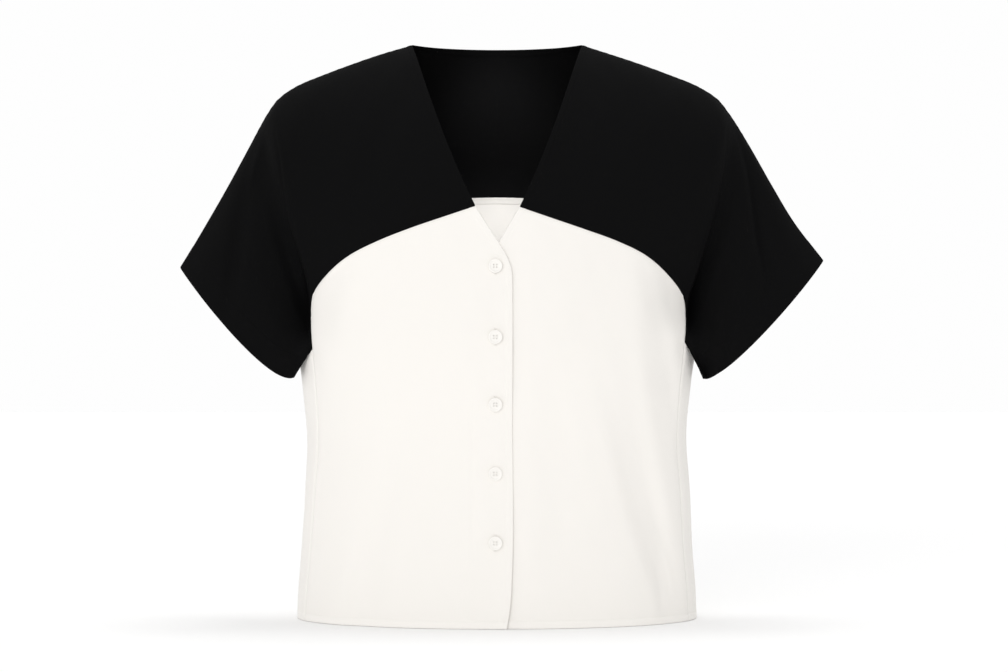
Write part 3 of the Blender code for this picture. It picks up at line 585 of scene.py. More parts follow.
def front_seam_place(side, rib):
    """(turn, drop) of the front yoke's seam on the torso."""
    out, drop = seam_place(FRONT_SEAM, side, rib)
    return np.array([turn_of(out, drop), drop])


def back_seam_place(side, rib):
    """(turn, drop) of the back yoke's seam, which ends at the underarm with the front one."""
    ribs = np.append(column(BACK_SEAM, BACK_SEAM_COLUMNS, "rib"), UNDERARM_RIB)
    turn_end, drop_end = front_seam_place(side, UNDERARM_RIB)
    turns = np.append(column(BACK_SEAM, BACK_SEAM_COLUMNS, "turn"), turn_end)
    drops = np.append(column(BACK_SEAM, BACK_SEAM_COLUMNS, "drop"), drop_end)
    return np.array([read(ribs, turns, rib), read(ribs, drops, rib)])


def foot_point(side, rib, front):
    """Where a rib ends: on the torso, or past the underarm on the sleeve's own seam."""
    if rib <= UNDERARM_RIB:
        place = front_seam_place(side, rib) if front else back_seam_place(side, rib)
        return torso_point(*place)
    start = torso_point(*front_seam_place(side, UNDERARM_RIB))
    share = read(list(UNDERARM_SHARE), list(UNDERARM_SHARE.values()), rib)
    return start + share * (np.array(CUFF_CORNER[side]) - start)


# ---- Folds ----

def fold_depth(side, out, drop, front):
    """How far the folds press the cloth in at places seen from the front or from behind."""
    underarm = torso_point(*front_seam_place(side, UNDERARM_RIB))
    from_underarm = np.hypot(out - underarm[0], drop - underarm[2])
    total = np.zeros(np.shape(out))
    for crease_side, inner, outer, rows in FRONT_CREASES if front else BACK_CREASES:
        if crease_side != side:
            continue
        rows = [(*row, 1.0)[:len(CREASE_COLUMNS)] for row in rows]
        drops = column(rows, CREASE_COLUMNS, "drop")
        at = np.clip(drop, drops[0], drops[-1])
        path, deep, spread = [
            read_table(rows, CREASE_COLUMNS, name, at) for name in CREASE_COLUMNS[1:]
        ]
        away = out - path
        shape = bump(away, np.where(away < 0, inner, outer * spread))
        calm = UNDERARM_CALM_WIDE
        if inner < FOLDED_EDGE:
            shape = np.where(away > 0, np.exp(-np.abs(away) / (outer * spread)), shape)
            calm = UNDERARM_CALM
        total += deep * shape * smooth(from_underarm, *calm)
    return total


def pressed(side, points, front, fade=1.0):
    """Points (out, back, drop) with the folds pressed into them."""
    points = np.array(points, float)
    inward = 1 if front else -1
    if not front:
        fade = fade * smooth(points[..., 1], *FOLD_BEHIND)
    points[..., 1] += inward * fade * fold_depth(side, points[..., 0], points[..., 2], front)
    return points


# ---- Yoke and sleeve ----

def rib_curve(side, rib, front, shares):
    """Points (out, back, drop) along one rib, at shares of its length from the top."""
    rows = FRONT_RIBS if front else BACK_RIBS
    row = {name: read_table(rows, RIB_COLUMNS, name, rib) for name in RIB_COLUMNS[1:]}
    if rib < 0:
        top = neckline_point(rib)
    else:
        top = np.insert(seam_place(OVERARM, side, rib), 1, 0.0)
    foot = foot_point(side, rib, front)
    chord = np.array([foot[0] - top[0], 0.0, foot[2] - top[2]])
    sideways = np.array([chord[2], 0.0, -chord[0]]) / np.linalg.norm(chord)

    upper = top + row["lean_top"] * chord + row["bow_top"] * sideways
    upper[1] += -row["throw"] if front else row["throw"]

    bow_low = row["bow_low"] - front * CUFF_BOW_LESS[side] * smooth(rib, UNDERARM_RIB, CUFF_RIB)
    lower = foot - row["lean_low"] * chord + bow_low * sideways
    near = 0.05  # the torso's slope is taken over this share of the way to the handle
    step = foot + near * (lower - foot)
    rise = torso_back(step[0], step[2], front) - torso_back(foot[0], foot[2], front)
    lower[1] = foot[1] + row["grip"] * rise / near + (1 - row["grip"]) * row["hang"]

    t = shares[:, None]
    return (
        top * (1 - t) ** 3 + upper * 3 * t * (1 - t) ** 2
        + lower * 3 * t * t * (1 - t) + foot * t ** 3
    )


def yoke_ribs(front):
    start = () if front else RIBS_FROM_CENTRE_BACK
    return places(*start, *RIBS_TO_CORNER, *RIBS_TO_UNDERARM, *RIBS_TO_CUFF)


def yoke_grid(side, front):
    """World points of a yoke half, by rib and then from the overarm line down."""
    ribs = yoke_ribs(front)
    points = np.array([rib_curve(side, rib, front, YOKE_SHARES) for rib in ribs])
    from_top = smooth(YOKE_SHARES, 0.0, FOLD_EDGE_SHARE)[None, :]
    past_underarm = smooth(ribs, UNDERARM_RIB - 1, UNDERARM_RIB + 1)[:, None]
    from_foot = smooth(1 - YOKE_SHARES, 0.0, FOLD_FOOT_SHARE)[None, :]
    fade = from_top * (1 - past_underarm * (1 - from_foot))
    return placed(side, pressed(side, points, front, fade))


# ---- Body ----

def side_seam(side):
    """(turn, drop) from the underarm down to the hem."""
    start = front_seam_place(side, UNDERARM_RIB)
    return start + SKIRT_SHARES[:, None] * (np.array([SIDE_SEAM_TURN, HEM_DROP]) - start)


def filled(top, hem, centre, side_line, u, v):
    """A grid whose four edges are the given rows of (turn, drop), blended between them."""
    u = u[:, None, None]
    v = v[None, :, None]
    corners = (
        (1 - u) * (1 - v) * top[0] + u * (1 - v) * top[-1] + (1 - u) * v * hem[0] + u * v * hem[-1]
    )
    return (1 - v) * top[:, None] + v * hem[:, None] + (1 - u) * centre + u * side_line - corners


def lap_edge(side, rows):
    """(turn, drop) down the centre-front edge."""
    out_0, drop_0 = seam_place(FRONT_SEAM, side, 0)
    keys = np.append(0, column(LAP_EDGE, LAP_COLUMNS, "row"))
    outs = np.append(out_0, column(LAP_EDGE, LAP_COLUMNS, side + "_out"))
    drops = np.append(drop_0, column(LAP_EDGE, LAP_COLUMNS, "drop"))
    drop = read(keys, drops, rows)
    return np.stack([turn_of(read(keys, outs, rows), drop), drop], axis=-1)


def front_body_grid(side):
    ribs = places(*RIBS_TO_CORNER)
    armhole_ribs = places(*RIBS_TO_UNDERARM)
    top = np.array([front_seam_place(side, rib) for rib in ribs])
    armhole = [front_seam_place(side, rib) for rib in armhole_ribs]
    side_line = np.vstack([armhole, side_seam(side)[1:]])
    armhole_rows = (armhole_ribs - CORNER_RIB) / (UNDERARM_RIB - CORNER_RIB) * ARMHOLE_ROW
    rows = np.append(armhole_rows, ARMHOLE_ROW + SKIRT_SHARES[1:] * (LAST_ROW - ARMHOLE_ROW))
    centre = lap_edge(side, rows)
    across = ribs / CORNER_RIB
    hem = centre[-1] + across[:, None] * (side_line[-1] - centre[-1])
    grid = filled(top, hem, centre, side_line, across, rows / LAST_ROW)
    turn, drop = np.moveaxis(grid, -1, 0)
    at_side = 1 - smooth(CORNER_RIB - ribs, 0, FOLD_SIDE_RIBS)[:, None]
    fade = 1 - at_side * smooth(drop, *FOLD_SIDE_DROP)
    points = pressed(side, torso_point(turn, drop), True, fade)
    if side == "left":
        covered = 1 - smooth(points[..., 0], *LAP_SINK_OUT)
        points[..., 1] += LAP_SINK * covered * smooth(points[..., 2], *LAP_SINK_DROP)
    return placed(side, points)


def back_body_grid(side):
    ribs = places(*RIBS_FROM_CENTRE_BACK, *RIBS_TO_CORNER, *RIBS_TO_UNDERARM)
    top = np.array([back_seam_place(side, rib) for rib in ribs])
    side_line = side_seam(side)
    down = SKIRT_SHARES[:, None]
    centre = top[0] + down * (np.array([180.0, HEM_DROP]) - top[0])
    across = (ribs - ribs[0]) / (ribs[-1] - ribs[0])
    hem = centre[-1] + across[:, None] * (side_line[-1] - centre[-1])
    grid = filled(top, hem, centre, side_line, across, SKIRT_SHARES)
    turn, drop = np.moveaxis(grid, -1, 0)
    return placed(side, pressed(side, torso_point(turn, drop), False))


def both_sides(make):
    """The right half's grid, turned over, followed by the left half's."""
    return np.concatenate([make("right")[::-1], make("left")[1:]])


# ---- Cloth ----

def unit(vectors):
    return vectors / np.maximum(np.linalg.norm(vectors, axis=-1, keepdims=True), 1e-12)


class Cloth:
    """A cut piece: a grid of points with its outward normals and its distances along the cloth.
    Its edges are the grid's "first" and "last" column, and its "top" and "foot" row."""

    def __init__(self, points, facing):
        self.points = points
        self.facing = facing
        self.measure()

    def measure(self):
        p = self.points
        normals = unit(np.cross(np.gradient(p, axis=0), np.gradient(p, axis=1)))
        self.normals = normals * np.sign(np.sum(normals[..., 1]) * self.facing)
        across = np.linalg.norm(np.diff(p, axis=0), axis=-1)
        down = np.linalg.norm(np.diff(p, axis=1), axis=-1)
        self.across = np.vstack([np.zeros((1, p.shape[1])), np.cumsum(across, axis=0)])
        self.down = np.hstack([np.zeros((p.shape[0], 1)), np.cumsum(down, axis=1)])

    def away(self, edge):
        """Distance of every point from an edge, measured along the cloth."""
        if edge == "first":
            return self.across
        if edge == "last":
            return self.across[-1:] - self.across
        if edge == "top":
            return self.down
        return self.down[:, -1:] - self.down

    def lift(self, height):
        self.points = self.points + self.normals * height[..., None]

    def soften(self):
        """Long waves, so that no part of the cloth is quite even."""
        x, y, z = np.moveaxis(self.points, -1, 0)
        height = np.zeros(x.shape)
        for row in WAVES:
            wave = dict(zip(WAVE_COLUMNS, row))
            phase = wave["across"] * x + wave["through"] * y + wave["down"] * z
            height += wave["height"] * np.sin(2 * math.pi * phase + wave["start"])
        calm = np.ones(x.shape)
        for edge in ("first", "last", "top", "foot"):
            calm = calm * smooth(self.away(edge), 0.0, WAVE_CALM)
        self.lift(height * calm)

    def sew(self, edge, where=1.0):
        """A seam: the cloth dips into it and puckers a little beside it."""
        away = self.away(edge)
        along = self.down if edge in ("first", "last") else self.across
        gather = np.zeros(along.shape)
        for row in GATHERS:
            wave = dict(zip(GATHER_COLUMNS, row))
            stray = wave["stray"] * np.sin(along * wave["stray_rate"])
            gather = gather + wave["height"] * np.sin(along * 2 * math.pi / wave["long"] + stray)
        dip = -DITCH_DEEP * bump(away, DITCH_WIDE)
        swell = PUCKER * gather * away / PUCKER_RISE * np.exp(-away / PUCKER_FALL)
        self.lift(where * (dip + swell * (1 - smooth(away, PUCKER_REACH / 2, PUCKER_REACH))))

    def turn_edge(self, edge, band, groove=STITCH_GROOVE, where=1.0):
        """A turned and stitched edge: a raised band with a groove along its stitches."""
        away = self.away(edge)
        raised = BAND_LIFT * near_edge(away, [band + slope for slope in BAND_SLOPE])
        line = -groove * bump(away - band, GROOVE_WIDE)
        self.lift(where * (raised + line))

    def place_at(self, edge, index, distance):
        """Point and normal at a distance from an edge, on one row or column of the grid."""
        line = (slice(None), index) if edge in ("first", "last") else index
        away = self.away(edge)[line]
        order = np.argsort(away)
        return [
            np.array([np.interp(distance, away[order], source[line][order, k]) for k in range(3)])
            for source in (self.points, self.normals)
        ]


def linked(name, data):
    """A new object of the scene, from its mesh, light or camera."""
    item = bpy.data.objects.new(name, data)
    bpy.context.scene.collection.objects.link(item)
    return item


def drawn_wall(cloth, doubled):
    """Vertices, faces and grain places of a thin closed wall with a rounded rim. Where "doubled" is
    1 the wall is twice as thick."""
    thick = CLOTH * (1 + doubled)[..., None]
    outer = cloth.points
    inner = outer - cloth.normals * thick
    columns, rows = outer.shape[:2]
    count = columns * rows

    ids = np.arange(count).reshape(columns, rows)
    a, b, c, d = ids[:-1, :-1], ids[1:, :-1], ids[1:, 1:], ids[:-1, 1:]
    quads = np.stack([a, b, c, d], axis=-1).reshape(-1, 4)
    corner = np.cross(outer[1, 0] - outer[0, 0], outer[0, 1] - outer[0, 0])
    turned = corner @ cloth.normals[0, 0] < 0
    if turned:
        quads = quads[:, ::-1]

    rim = [(i, 0, 0, 1) for i in range(columns)]
    rim += [(columns - 1, j, -1, 0) for j in range(1, rows)]
    rim += [(i, rows - 1, 0, -1) for i in range(columns - 2, -1, -1)]
    rim += [(0, j, 1, 0) for j in range(rows - 2, 0, -1)]
    rounded = []
    for i, j, di, dj in rim:
        here = outer[i, j]
        out = here - outer[i + di, j + dj]
        out = out / np.linalg.norm(out)
        middle = (here + inner[i, j]) / 2
        rounded.append(middle + out * np.linalg.norm(here - inner[i, j]) / 2)
    ring_ids = 2 * count + np.arange(len(rim))
    rim_outer = np.array([ids[i, j] for i, j, _, _ in rim])
    rim_inner = rim_outer + count
    closing = []
    for near, far in ((rim_outer, ring_ids), (ring_ids, rim_inner)):
        strip = np.stack([near, far, np.roll(far, -1), np.roll(near, -1)], axis=-1)
        closing.append(strip[:, ::-1] if turned else strip)
    vertices = np.concatenate([outer.reshape(-1, 3), inner.reshape(-1, 3), np.array(rounded)])
    faces = np.concatenate([quads, quads[:, ::-1] + count] + closing)
    along = np.stack([cloth.across, cloth.down], axis=-1).reshape(-1, 2)
    return vertices, faces, np.concatenate([along, along, along[rim_outer]])


def cloth_piece(name, cloth, doubled, paler=None, extra=()):
    """The piece's object, from its wall and any turnings that belong to it. "paler" is 1 where the
    cloth shows its doubled tone."""
    vertices, faces, along = drawn_wall(cloth, doubled)
    tone = np.zeros(len(vertices))
    if paler is not None:
        tone[:2 * paler.size] = np.tile(paler.reshape(-1), 2)
    for other in extra:
        thin = np.full(other.points.shape[:2], TURNING_THIN)
        more_vertices, more_faces, more_along = drawn_wall(other, thin)
        faces = np.concatenate([faces, more_faces + len(vertices)])
        vertices = np.concatenate([vertices, more_vertices])
        along = np.concatenate([along, more_along])
    data = bpy.data.meshes.new(name)
    data.from_pydata(vertices.tolist(), [], faces.tolist())
    data.update()
    tone = np.append(tone, np.zeros(len(vertices) - len(tone)))
    shown = data.attributes.new("Paler", "FLOAT", "POINT")
    shown.data.foreach_set("value", tone.astype(np.float32))
    grain = data.uv_layers.new(name="Grain")
    loop_vertices = np.empty(len(data.loops), dtype=np.int32)
    data.loops.foreach_get("vertex_index", loop_vertices)
    grain.data.foreach_set("uv", along[loop_vertices].astype(np.float32).reshape(-1))
    data.shade_smooth()
    return linked(name, data)


def line_at(cloth, edge, distance, part=slice(None)):
    """A line of points and normals on the cloth at a distance from one of its edges."""
    count = cloth.points.shape[1 if edge in ("first", "last") else 0]
    found = [cloth.place_at(edge, index, distance) for index in range(count)[part]]
    return np.moveaxis(np.array(found), 1, 0)


def turning(cloth, edge, part=slice(None)):
    """The seam turning inside a piece, a narrow strip pressed flat against it."""
    heights = [TURNING_LIFT] * (len(TURNING_STEPS) - 1) + [TURNING_END]
    lines = []
    for step, height in zip(TURNING_STEPS, heights):
        points, normals = line_at(cloth, edge, step, part)
        lines.append(points - normals * (CLOTH + height))
    beyond = lines[0] + unit(lines[0] - lines[1]) * TURNING_BEYOND
    return Cloth(np.stack([beyond, *lines], axis=1), cloth.facing)


# ---- Stitches ----

def stitch_row(points, normals):
    """Short straight stitches along a line on the cloth, each a small six-sided grain."""
    normals = unit(normals)
    along = np.append(0.0, np.cumsum(np.linalg.norm(np.diff(points, axis=0), axis=1)))
    starts = np.arange(STITCH_PITCH / 2, along[-1] - STITCH_PITCH, STITCH_PITCH)
    angles = 2 * math.pi * np.arange(STITCH_SIDES) / STITCH_SIDES
    near = 0.001

    def line(source, at):
        return np.array([np.interp(at, along, source[:, k]) for k in range(3)])

    vertices, faces = [], []
    for start in starts:
        base = len(vertices)
        for share, swell, rise in STITCH_PROFILE:
            at = start + share * STITCH_LONG
            here = line(points, at)
            up = unit(line(normals, at))
            ahead = line(points, at + near) - here
            ahead = unit(ahead - (ahead @ up) * up)
            side = np.cross(up, ahead)
            for angle in angles:
                spread = math.cos(angle) * side + math.sin(angle) * up
                vertices.append(here + up * rise * STITCH_WIDE + STITCH_WIDE / 2 * swell * spread)
        for k in range(len(STITCH_PROFILE) - 1):
            lower, upper = base + k * STITCH_SIDES, base + (k + 1) * STITCH_SIDES
            for m in range(STITCH_SIDES):
                n = (m + 1) % STITCH_SIDES
                faces.append((lower + m, lower + n, upper + n, upper + m))
        faces.append(tuple(base + m for m in range(STITCH_SIDES))[::-1])
        faces.append(tuple(upper + m for m in range(STITCH_SIDES)))
    return vertices, faces


def stitches(name, rows):
    """One object for several rows of stitches."""
    vertices, faces = [], []
    for row in rows:
        more, walls = stitch_row(*row)
        faces += [tuple(k + len(vertices) for k in wall) for wall in walls]
        vertices += more
    data = bpy.data.meshes.new(name)
    data.from_pydata([tuple(v) for v in vertices], [], faces)
    data.update()
    work = bmesh.new()
    work.from_mesh(data)
    bmesh.ops.recalc_face_normals(work, faces=work.faces)
    work.to_mesh(data)
    work.free()
    data.shade_smooth()
    return linked(name, data)


# ---- Materials ----

def set_inputs(node, values):
    for name, value in values.items():
        node.inputs[name].default_value = value


def new_material(name, colour, roughness, **more):
    made = bpy.data.materials.new(name)
    made.use_nodes = True
    shader = made.node_tree.nodes["Principled BSDF"]
    set_inputs(shader, {"Base Color": (*colour, 1.0), "Roughness": roughness})
    set_inputs(shader, {name.replace("_", " "): value for name, value in more.items()})
    return made


def woven_cloth(name, colour, doubled, roughness, gloss, sheen, weave_height, crepe_height):
    """Plain weave that follows the grain of each piece, with an uneven crepe surface over it. Where
    the cloth is doubled it lets less light through, so it is a little paler."""
    made = new_material(
        name, colour, roughness,
        Sheen_Weight=sheen, Sheen_Roughness=SHEEN_ROUGHNESS, Specular_IOR_Level=gloss,
    )
    nodes, links = made.node_tree.nodes, made.node_tree.links
    shader = nodes["Principled BSDF"]

    paler = nodes.new("ShaderNodeAttribute")
    paler.attribute_name = "Paler"
    tone = nodes.new("ShaderNodeMix")
    tone.data_type = "RGBA"
    set_inputs(tone, {"A": (*colour, 1.0), "B": (*doubled, 1.0)})
    links.new(paler.outputs["Fac"], tone.inputs["Factor"])
    links.new(tone.outputs["Result"], shader.inputs["Base Color"])

    grain = nodes.new("ShaderNodeTexCoord")
    threads = []
    for direction in ("X", "Y"):
        wave = nodes.new("ShaderNodeTexWave")
        wave.wave_type = "BANDS"
        wave.bands_direction = direction
        set_inputs(wave, {"Scale": WEAVE_SCALE, "Distortion": WEAVE_STRAY, "Detail": 1.0})
        links.new(grain.outputs["UV"], wave.inputs["Vector"])
        threads.append(wave)
    weave = nodes.new("ShaderNodeMath")
    weave.operation = "MAXIMUM"
    for k, wave in enumerate(threads):
        links.new(wave.outputs["Fac"], weave.inputs[k])
    crepe = nodes.new("ShaderNodeTexNoise")
    set_inputs(crepe, dict(zip(("Scale", "Detail", "Roughness"), CREPE_NOISE)))
    links.new(grain.outputs["Object"], crepe.inputs["Vector"])

    bumps = []
    for height, relief in (
        (weave_height, weave.outputs["Value"]), (crepe_height, crepe.outputs["Fac"]),
    ):
        surface = nodes.new("ShaderNodeBump")
        set_inputs(surface, {"Strength": 1.0, "Distance": height})
        links.new(relief, surface.inputs["Height"])
        bumps.append(surface)
    links.new(bumps[0].outputs["Normal"], bumps[1].inputs["Normal"])
    links.new(bumps[1].outputs["Normal"], shader.inputs["Normal"])
    return made


# ---- Buttons ----

def deselect():
    bpy.ops.object.select_all(action="DESELECT")


def select_faces(item, wanted):
    """In edit mode, selects only the faces that the test picks."""
    bpy.ops.mesh.select_mode(type="FACE")
    bpy.ops.mesh.select_all(action="DESELECT")
    work = bmesh.from_edit_mesh(item.data)
    for face in work.faces:
        if wanted(face):
            face.select_set(True)
    bmesh.update_edit_mesh(item.data)


def finish_modifier(item, modifier):
    bpy.context.view_layer.objects.active = item
    bpy.ops.object.modifier_apply(modifier=modifier.name)


def joined(parts, name):
    """One object from several, with its sharp edges kept."""
    deselect()
    for part in parts:
        part.select_set(True)
    bpy.context.view_layer.objects.active = parts[0]
    bpy.ops.object.join()
    whole = bpy.context.object
    whole.name = name
    bpy.ops.object.shade_smooth_by_angle(angle=math.radians(SHARP_FROM))
    return whole


def button_blank():
    """A turned four-hole button, its back at the origin and its face up."""
    deselect()
    bpy.ops.mesh.primitive_cylinder_add(
        vertices=BUTTON_SIDES, radius=BUTTON_RADIUS, depth=BUTTON_THICK,
        location=(0, 0, BUTTON_THICK / 2),
    )
    blank = bpy.context.object
    blank.name = "button_blank"
    bpy.ops.object.transform_apply(location=True, rotation=False, scale=False)
    bpy.ops.object.mode_set(mode="EDIT")
    select_faces(blank, lambda face: face.normal.z > ALONG_AXIS)
    bpy.ops.mesh.inset(thickness=BUTTON_RIM)
    bpy.ops.mesh.inset(thickness=BUTTON_SLOPE)
    bpy.ops.transform.translate(value=(0, 0, -BUTTON_DISH))
    bpy.ops.object.mode_set(mode="OBJECT")
    rounding = blank.modifiers.new("Rounding", "BEVEL")
    rounding.width = BUTTON_ROUNDING
    rounding.segments = 4
    rounding.limit_method = "ANGLE"
    rounding.angle_limit = math.radians(ROUNDED_FROM)
    finish_modifier(blank, rounding)

    half = BUTTON_HOLE_PITCH / 2
    for x in (-half, half):
        for y in (-half, half):
            deselect()
            bpy.ops.mesh.primitive_cylinder_add(
                vertices=BUTTON_HOLE_SIDES, radius=BUTTON_HOLE_RADIUS,
                depth=4 * BUTTON_THICK, location=(x, y, 0),
            )
            drill = bpy.context.object
            hole = blank.modifiers.new("Hole", "BOOLEAN")
            hole.operation = "DIFFERENCE"
            hole.object = drill
            finish_modifier(blank, hole)
            bpy.data.objects.remove(drill)
    deselect()
    blank.select_set(True)
    bpy.context.view_layer.objects.active = blank
    bpy.ops.object.shade_smooth_by_angle(angle=math.radians(BUTTON_SHARP_FROM))
    return blank


def thread_blank():
    """Two strands across the dish, each from one hole to the next, that dip into the holes."""
    strands = []
    dish = BUTTON_THICK - BUTTON_DISH
    half = BUTTON_HOLE_PITCH / 2
    for y in (-half, half):
        for offset in (-THREAD_APART * THREAD_RADIUS, THREAD_APART * THREAD_RADIUS):
            deselect()
            bpy.ops.mesh.primitive_cylinder_add(
                vertices=THREAD_SIDES, radius=THREAD_RADIUS, depth=BUTTON_HOLE_PITCH,
                location=(0, y + offset, dish + THREAD_RADIUS), rotation=(0, math.pi / 2, 0),
            )
            strand = bpy.context.object
            bpy.ops.object.transform_apply(location=True, rotation=True, scale=False)
            bpy.ops.object.mode_set(mode="EDIT")
            for direction in (-1, 1):
                select_faces(strand, lambda face: face.normal.x * direction > ALONG_AXIS)
                for along, down in THREAD_ENDS:
                    bpy.ops.mesh.extrude_region_move(
                        TRANSFORM_OT_translate={"value": (direction * along, 0, down)}
                    )
            bpy.ops.object.mode_set(mode="OBJECT")
            strands.append(strand)
    return joined(strands, "thread_blank")


def buttonhole_blank():
    """A worked buttonhole: two long bars of close stitches and a bar across each end."""
    bars = []
    side = (BUTTONHOLE_WIDE - BUTTONHOLE_BAR) / 2
    end = (BUTTONHOLE_LONG - BUTTONHOLE_BAR) / 2
    shapes = (
        (-side, 0.0, BUTTONHOLE_BAR, BUTTONHOLE_LONG),
        (side, 0.0, BUTTONHOLE_BAR, BUTTONHOLE_LONG),
        (0.0, -end, BUTTONHOLE_WIDE, BUTTONHOLE_BAR),
        (0.0, end, BUTTONHOLE_WIDE, BUTTONHOLE_BAR),
    )
    for x, y, wide, long in shapes:
        deselect()
        bpy.ops.mesh.primitive_cube_add(size=1, location=(x, y, 0.0))
        bar = bpy.context.object
        bar.dimensions = (wide, long, BUTTONHOLE_THICK)
        bpy.ops.object.transform_apply(location=True, rotation=False, scale=True)
        rounding = bar.modifiers.new("Rounding", "BEVEL")
        rounding.width = BUTTONHOLE_ROUNDING
        rounding.segments = 3
        finish_modifier(bar, rounding)
        bars.append(bar)
    return joined(bars, "buttonhole_blank")


def front_frame(out, drop):
    """Where a button sits on the upper front, and the cloth's outward direction there."""
    near = 0.001
    here, across, down = [
        Vector(placed("left", np.array([o, torso_back(o, d, True), d])))
        for o, d in ((out, drop), (out + near, drop), (out, drop + near))
    ]
    return here, (down - here).cross(across - here).normalized()


def sewn_on(blank, name, drop, lift):
    """A copy of the blank on the front at that height, with its place in its mesh."""
    here, outward = front_frame(BUTTON_OUT, drop)
    copy = blank.copy()
    copy.data = blank.data.copy()
    copy.name = name
    copy.data.name = name
    turn = outward.to_track_quat("Z", "Y").to_matrix().to_4x4()
    copy.data.transform(Matrix.Translation(here + lift * outward) @ turn)
    bpy.context.scene.collection.objects.link(copy)
    return copy


# ---- The blouse ----

black_cloth = woven_cloth("black_crepe", **dict(zip(CLOTH_COLUMNS, BLACK_CREPE)))
ivory_cloth = woven_cloth("ivory_crepe", **dict(zip(CLOTH_COLUMNS, IVORY_CREPE)))
ivory_button = new_material(
    "ivory_shell", SHELL, BUTTON_ROUGHNESS,
    Coat_Weight=BUTTON_COAT, Coat_Roughness=BUTTON_COAT_ROUGHNESS,
)
black_thread = new_material("black_thread", BLACK, THREAD_ROUGHNESS)
ivory_thread = new_material("ivory_thread", IVORY, THREAD_ROUGHNESS)


def finished(item, material, node=None):
    """What every piece needs: its material and the body it rides on. The imported part that it
    replaces is hidden.
    """
    item.data.materials.clear()
    item.data.materials.append(material)
    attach(item, "root")
    if node:
        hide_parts(node)


def cut(points, facing):
    cloth = Cloth(points, facing)
    cloth.soften()
    cloth.measure()
    return cloth


for side in SIDES:
    yoke = cut(yoke_grid(side, True), -1)
    yoke.sew("top")
    yoke.sew("foot")
    yoke.turn_edge("first", EDGE_BAND, V_GROOVE)
    yoke.turn_edge("last", CUFF_BAND, CUFF_GROOVE)
    yoke.measure()
    doubled = np.maximum(
        NECK_LAYERS * near_edge(yoke.away("first"), NECK_TURNED),
        near_edge(yoke.away("last"), CUFF_TURNED),
    )
    piece = cloth_piece("yoke_front_" + side, yoke, doubled)
    finished(piece, black_cloth, "front_yoke_" + side)

yoke = cut(both_sides(lambda side: yoke_grid(side, False)), 1)
half = yoke_ribs(False)
ribs = np.concatenate([half[::-1], half[1:]])
at_neck = near_edge(ribs, NECK_RIBS_END)[:, None]
yoke.sew("top", 1 - at_neck)
yoke.sew("foot")
yoke.turn_edge("top", EDGE_BAND, where=at_neck)
yoke.turn_edge("first", CUFF_BAND, CUFF_GROOVE)
yoke.turn_edge("last", CUFF_BAND, CUFF_GROOVE)
yoke.measure()
doubled = at_neck * NECK_LAYERS * near_edge(yoke.away("top"), NECK_TURNED)
for edge in ("first", "last"):
    doubled = np.maximum(doubled, near_edge(yoke.away(edge), CUFF_TURNED))
piece = cloth_piece("yoke_back", yoke, doubled)
finished(piece, black_cloth, "back_yoke")
stitched = np.nonzero(ribs < NECK_STITCHED_TO)[0]
neck_row = line_at(yoke, "top", EDGE_BAND, slice(stitched[0], stitched[-1] + 1))

hem_rows = []
for side in SIDES:
    body = cut(front_body_grid(side), -1)
    body.sew("top")
    body.sew("last")
    body.turn_edge("first", LAP_BAND, LAP_GROOVE)
    body.turn_edge("foot", HEM_BAND)
    if side == "right":
        drop = NECK_RISE - body.points[..., 2]
        stands = bump(body.away("first"), LAP_STANDS_WIDE)
        body.lift(LAP_STANDS * smooth(drop, *LAP_STANDS_DROP) * stands)
        comes, goes = [smooth(drop, *ends) for ends in FACING_SHOWS]
        edge = bump(body.away("first") - FACING_WIDE, FACING_GROOVE_WIDE)
        body.lift(-FACING_GROOVE * edge * comes * (1 - goes))
    body.measure()
    hemmed = near_edge(body.away("foot"), HEM_TURNED)
    doubled = np.maximum(hemmed, near_edge(body.away("first"), FACED))
    piece = cloth_piece("body_front_" + side, body, doubled, hemmed, [turning(body, "top")])
    finished(piece, ivory_cloth, "front_body_" + side)
    hem_rows.append(line_at(body, "foot", HEM_BAND, HEM_STITCHED))

body = cut(both_sides(back_body_grid), 1)
for edge in ("top", "first", "last"):
    body.sew(edge)
body.turn_edge("foot", HEM_BAND)
body.measure()
hemmed = near_edge(body.away("foot"), HEM_TURNED)
piece = cloth_piece("body_back", body, hemmed, hemmed, [turning(body, "top", BACK_TURNED)])
finished(piece, ivory_cloth, "back_body")
hem_rows.append(line_at(body, "foot", HEM_BAND, HEM_STITCHED))

finished(stitches("stitches_neck", [neck_row]), black_thread)
finished(stitches("stitches_hem", hem_rows), ivory_thread)

button = button_blank()
thread = thread_blank()
buttonhole = buttonhole_blank()
for number, drop in enumerate(BUTTON_DROPS, 1):
    piece = sewn_on(button, f"shell_button_{number}", drop, BUTTON_LIFT)
    finished(piece, ivory_button, f"button_{number}")
    piece = sewn_on(thread, f"button_thread_{number}", drop, BUTTON_LIFT)
    finished(piece, ivory_thread)
    piece = sewn_on(buttonhole, f"buttonhole_{number}", drop, BUTTONHOLE_LIFT)
    finished(piece, ivory_thread)
for blank in (button, thread, buttonhole):
    bpy.data.objects.remove(blank)


# ---- Studio ----

def spot(name, place, aim, cone, power):
    """A small lamp that itself can't be seen."""
    data = bpy.data.lights.new(name, "SPOT")
    data.spot_size = math.radians(cone)
    data.spot_blend = 1.0
    data.shadow_soft_size = SPOT_RADIUS
    data.energy = power
    item = linked(name, data)
    item.location = place
    item.rotation_euler = (Vector(aim) - Vector(place)).to_track_quat("-Z", "Y").to_euler()
    item.visible_camera = False


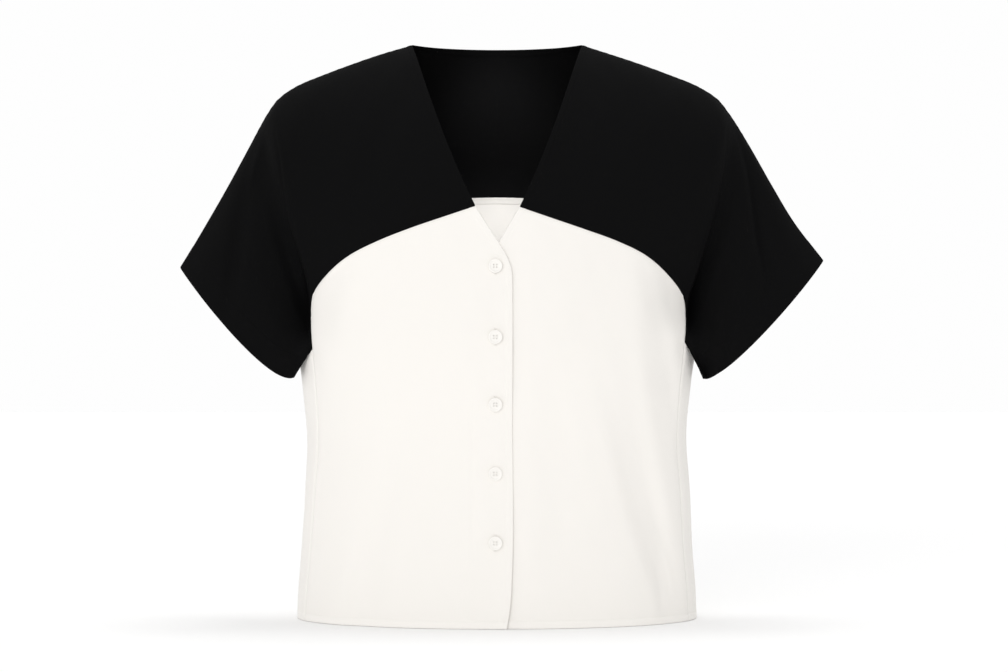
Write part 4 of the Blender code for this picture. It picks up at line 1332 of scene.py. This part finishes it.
def soft_light(name, direction, spread, power):
    """Even light from one direction, as from a very large soft box far away."""
    data = bpy.data.lights.new(name, "SUN")
    data.angle = math.radians(spread)
    data.energy = power
    item = linked(name, data)
    item.rotation_euler = Vector(direction).to_track_quat("Z", "Y").to_euler()


deselect()
bpy.ops.mesh.primitive_plane_add(size=FLOOR_SIZE, location=(0, 0, FLOOR_RISE))
floor = bpy.context.object
floor.name = "floor"
floor.data.materials.append(new_material(
    "floor_white", FLOOR_WHITE, FLOOR_ROUGHNESS,
    Emission_Color=WHITE, Emission_Strength=FLOOR_GLOW, Specular_IOR_Level=0.0,
))

world = bpy.context.scene.world or bpy.data.worlds.new("studio")
bpy.context.scene.world = world
world.use_nodes = True
sky_nodes, sky_links = world.node_tree.nodes, world.node_tree.links
room = sky_nodes["Background"]
set_inputs(room, {"Color": WHITE, "Strength": ROOM_LIGHT})
backdrop = sky_nodes.new("ShaderNodeBackground")
set_inputs(backdrop, {"Color": WHITE, "Strength": BACKDROP_WHITE})
seen = sky_nodes.new("ShaderNodeLightPath")
either = sky_nodes.new("ShaderNodeMixShader")
sky_links.new(seen.outputs["Is Camera Ray"], either.inputs["Fac"])
sky_links.new(room.outputs["Background"], either.inputs[1])
sky_links.new(backdrop.outputs["Background"], either.inputs[2])
sky_links.new(either.outputs["Shader"], sky_nodes["World Output"].inputs["Surface"])

soft_light("light_above", LIGHT_ABOVE_FROM, LIGHT_ABOVE_SPREAD, LIGHT_ABOVE)
soft_light("light_front", LIGHT_FRONT_FROM, LIGHT_FRONT_SPREAD, LIGHT_FRONT)
for name, row in SPOTS.items():
    spot(name, **dict(zip(SPOT_COLUMNS, row)))

camera_data = bpy.data.cameras.new("camera")
camera_data.sensor_width = 36.0
camera_data.lens = CAMERA_LENS
camera = linked("camera", camera_data)
camera.location = CAMERA_PLACE
camera.rotation_euler = (math.pi / 2, 0.0, 0.0)
scene = bpy.context.scene
scene.camera = camera
scene.view_settings.view_transform = "Standard"
scene.view_settings.look = "None"
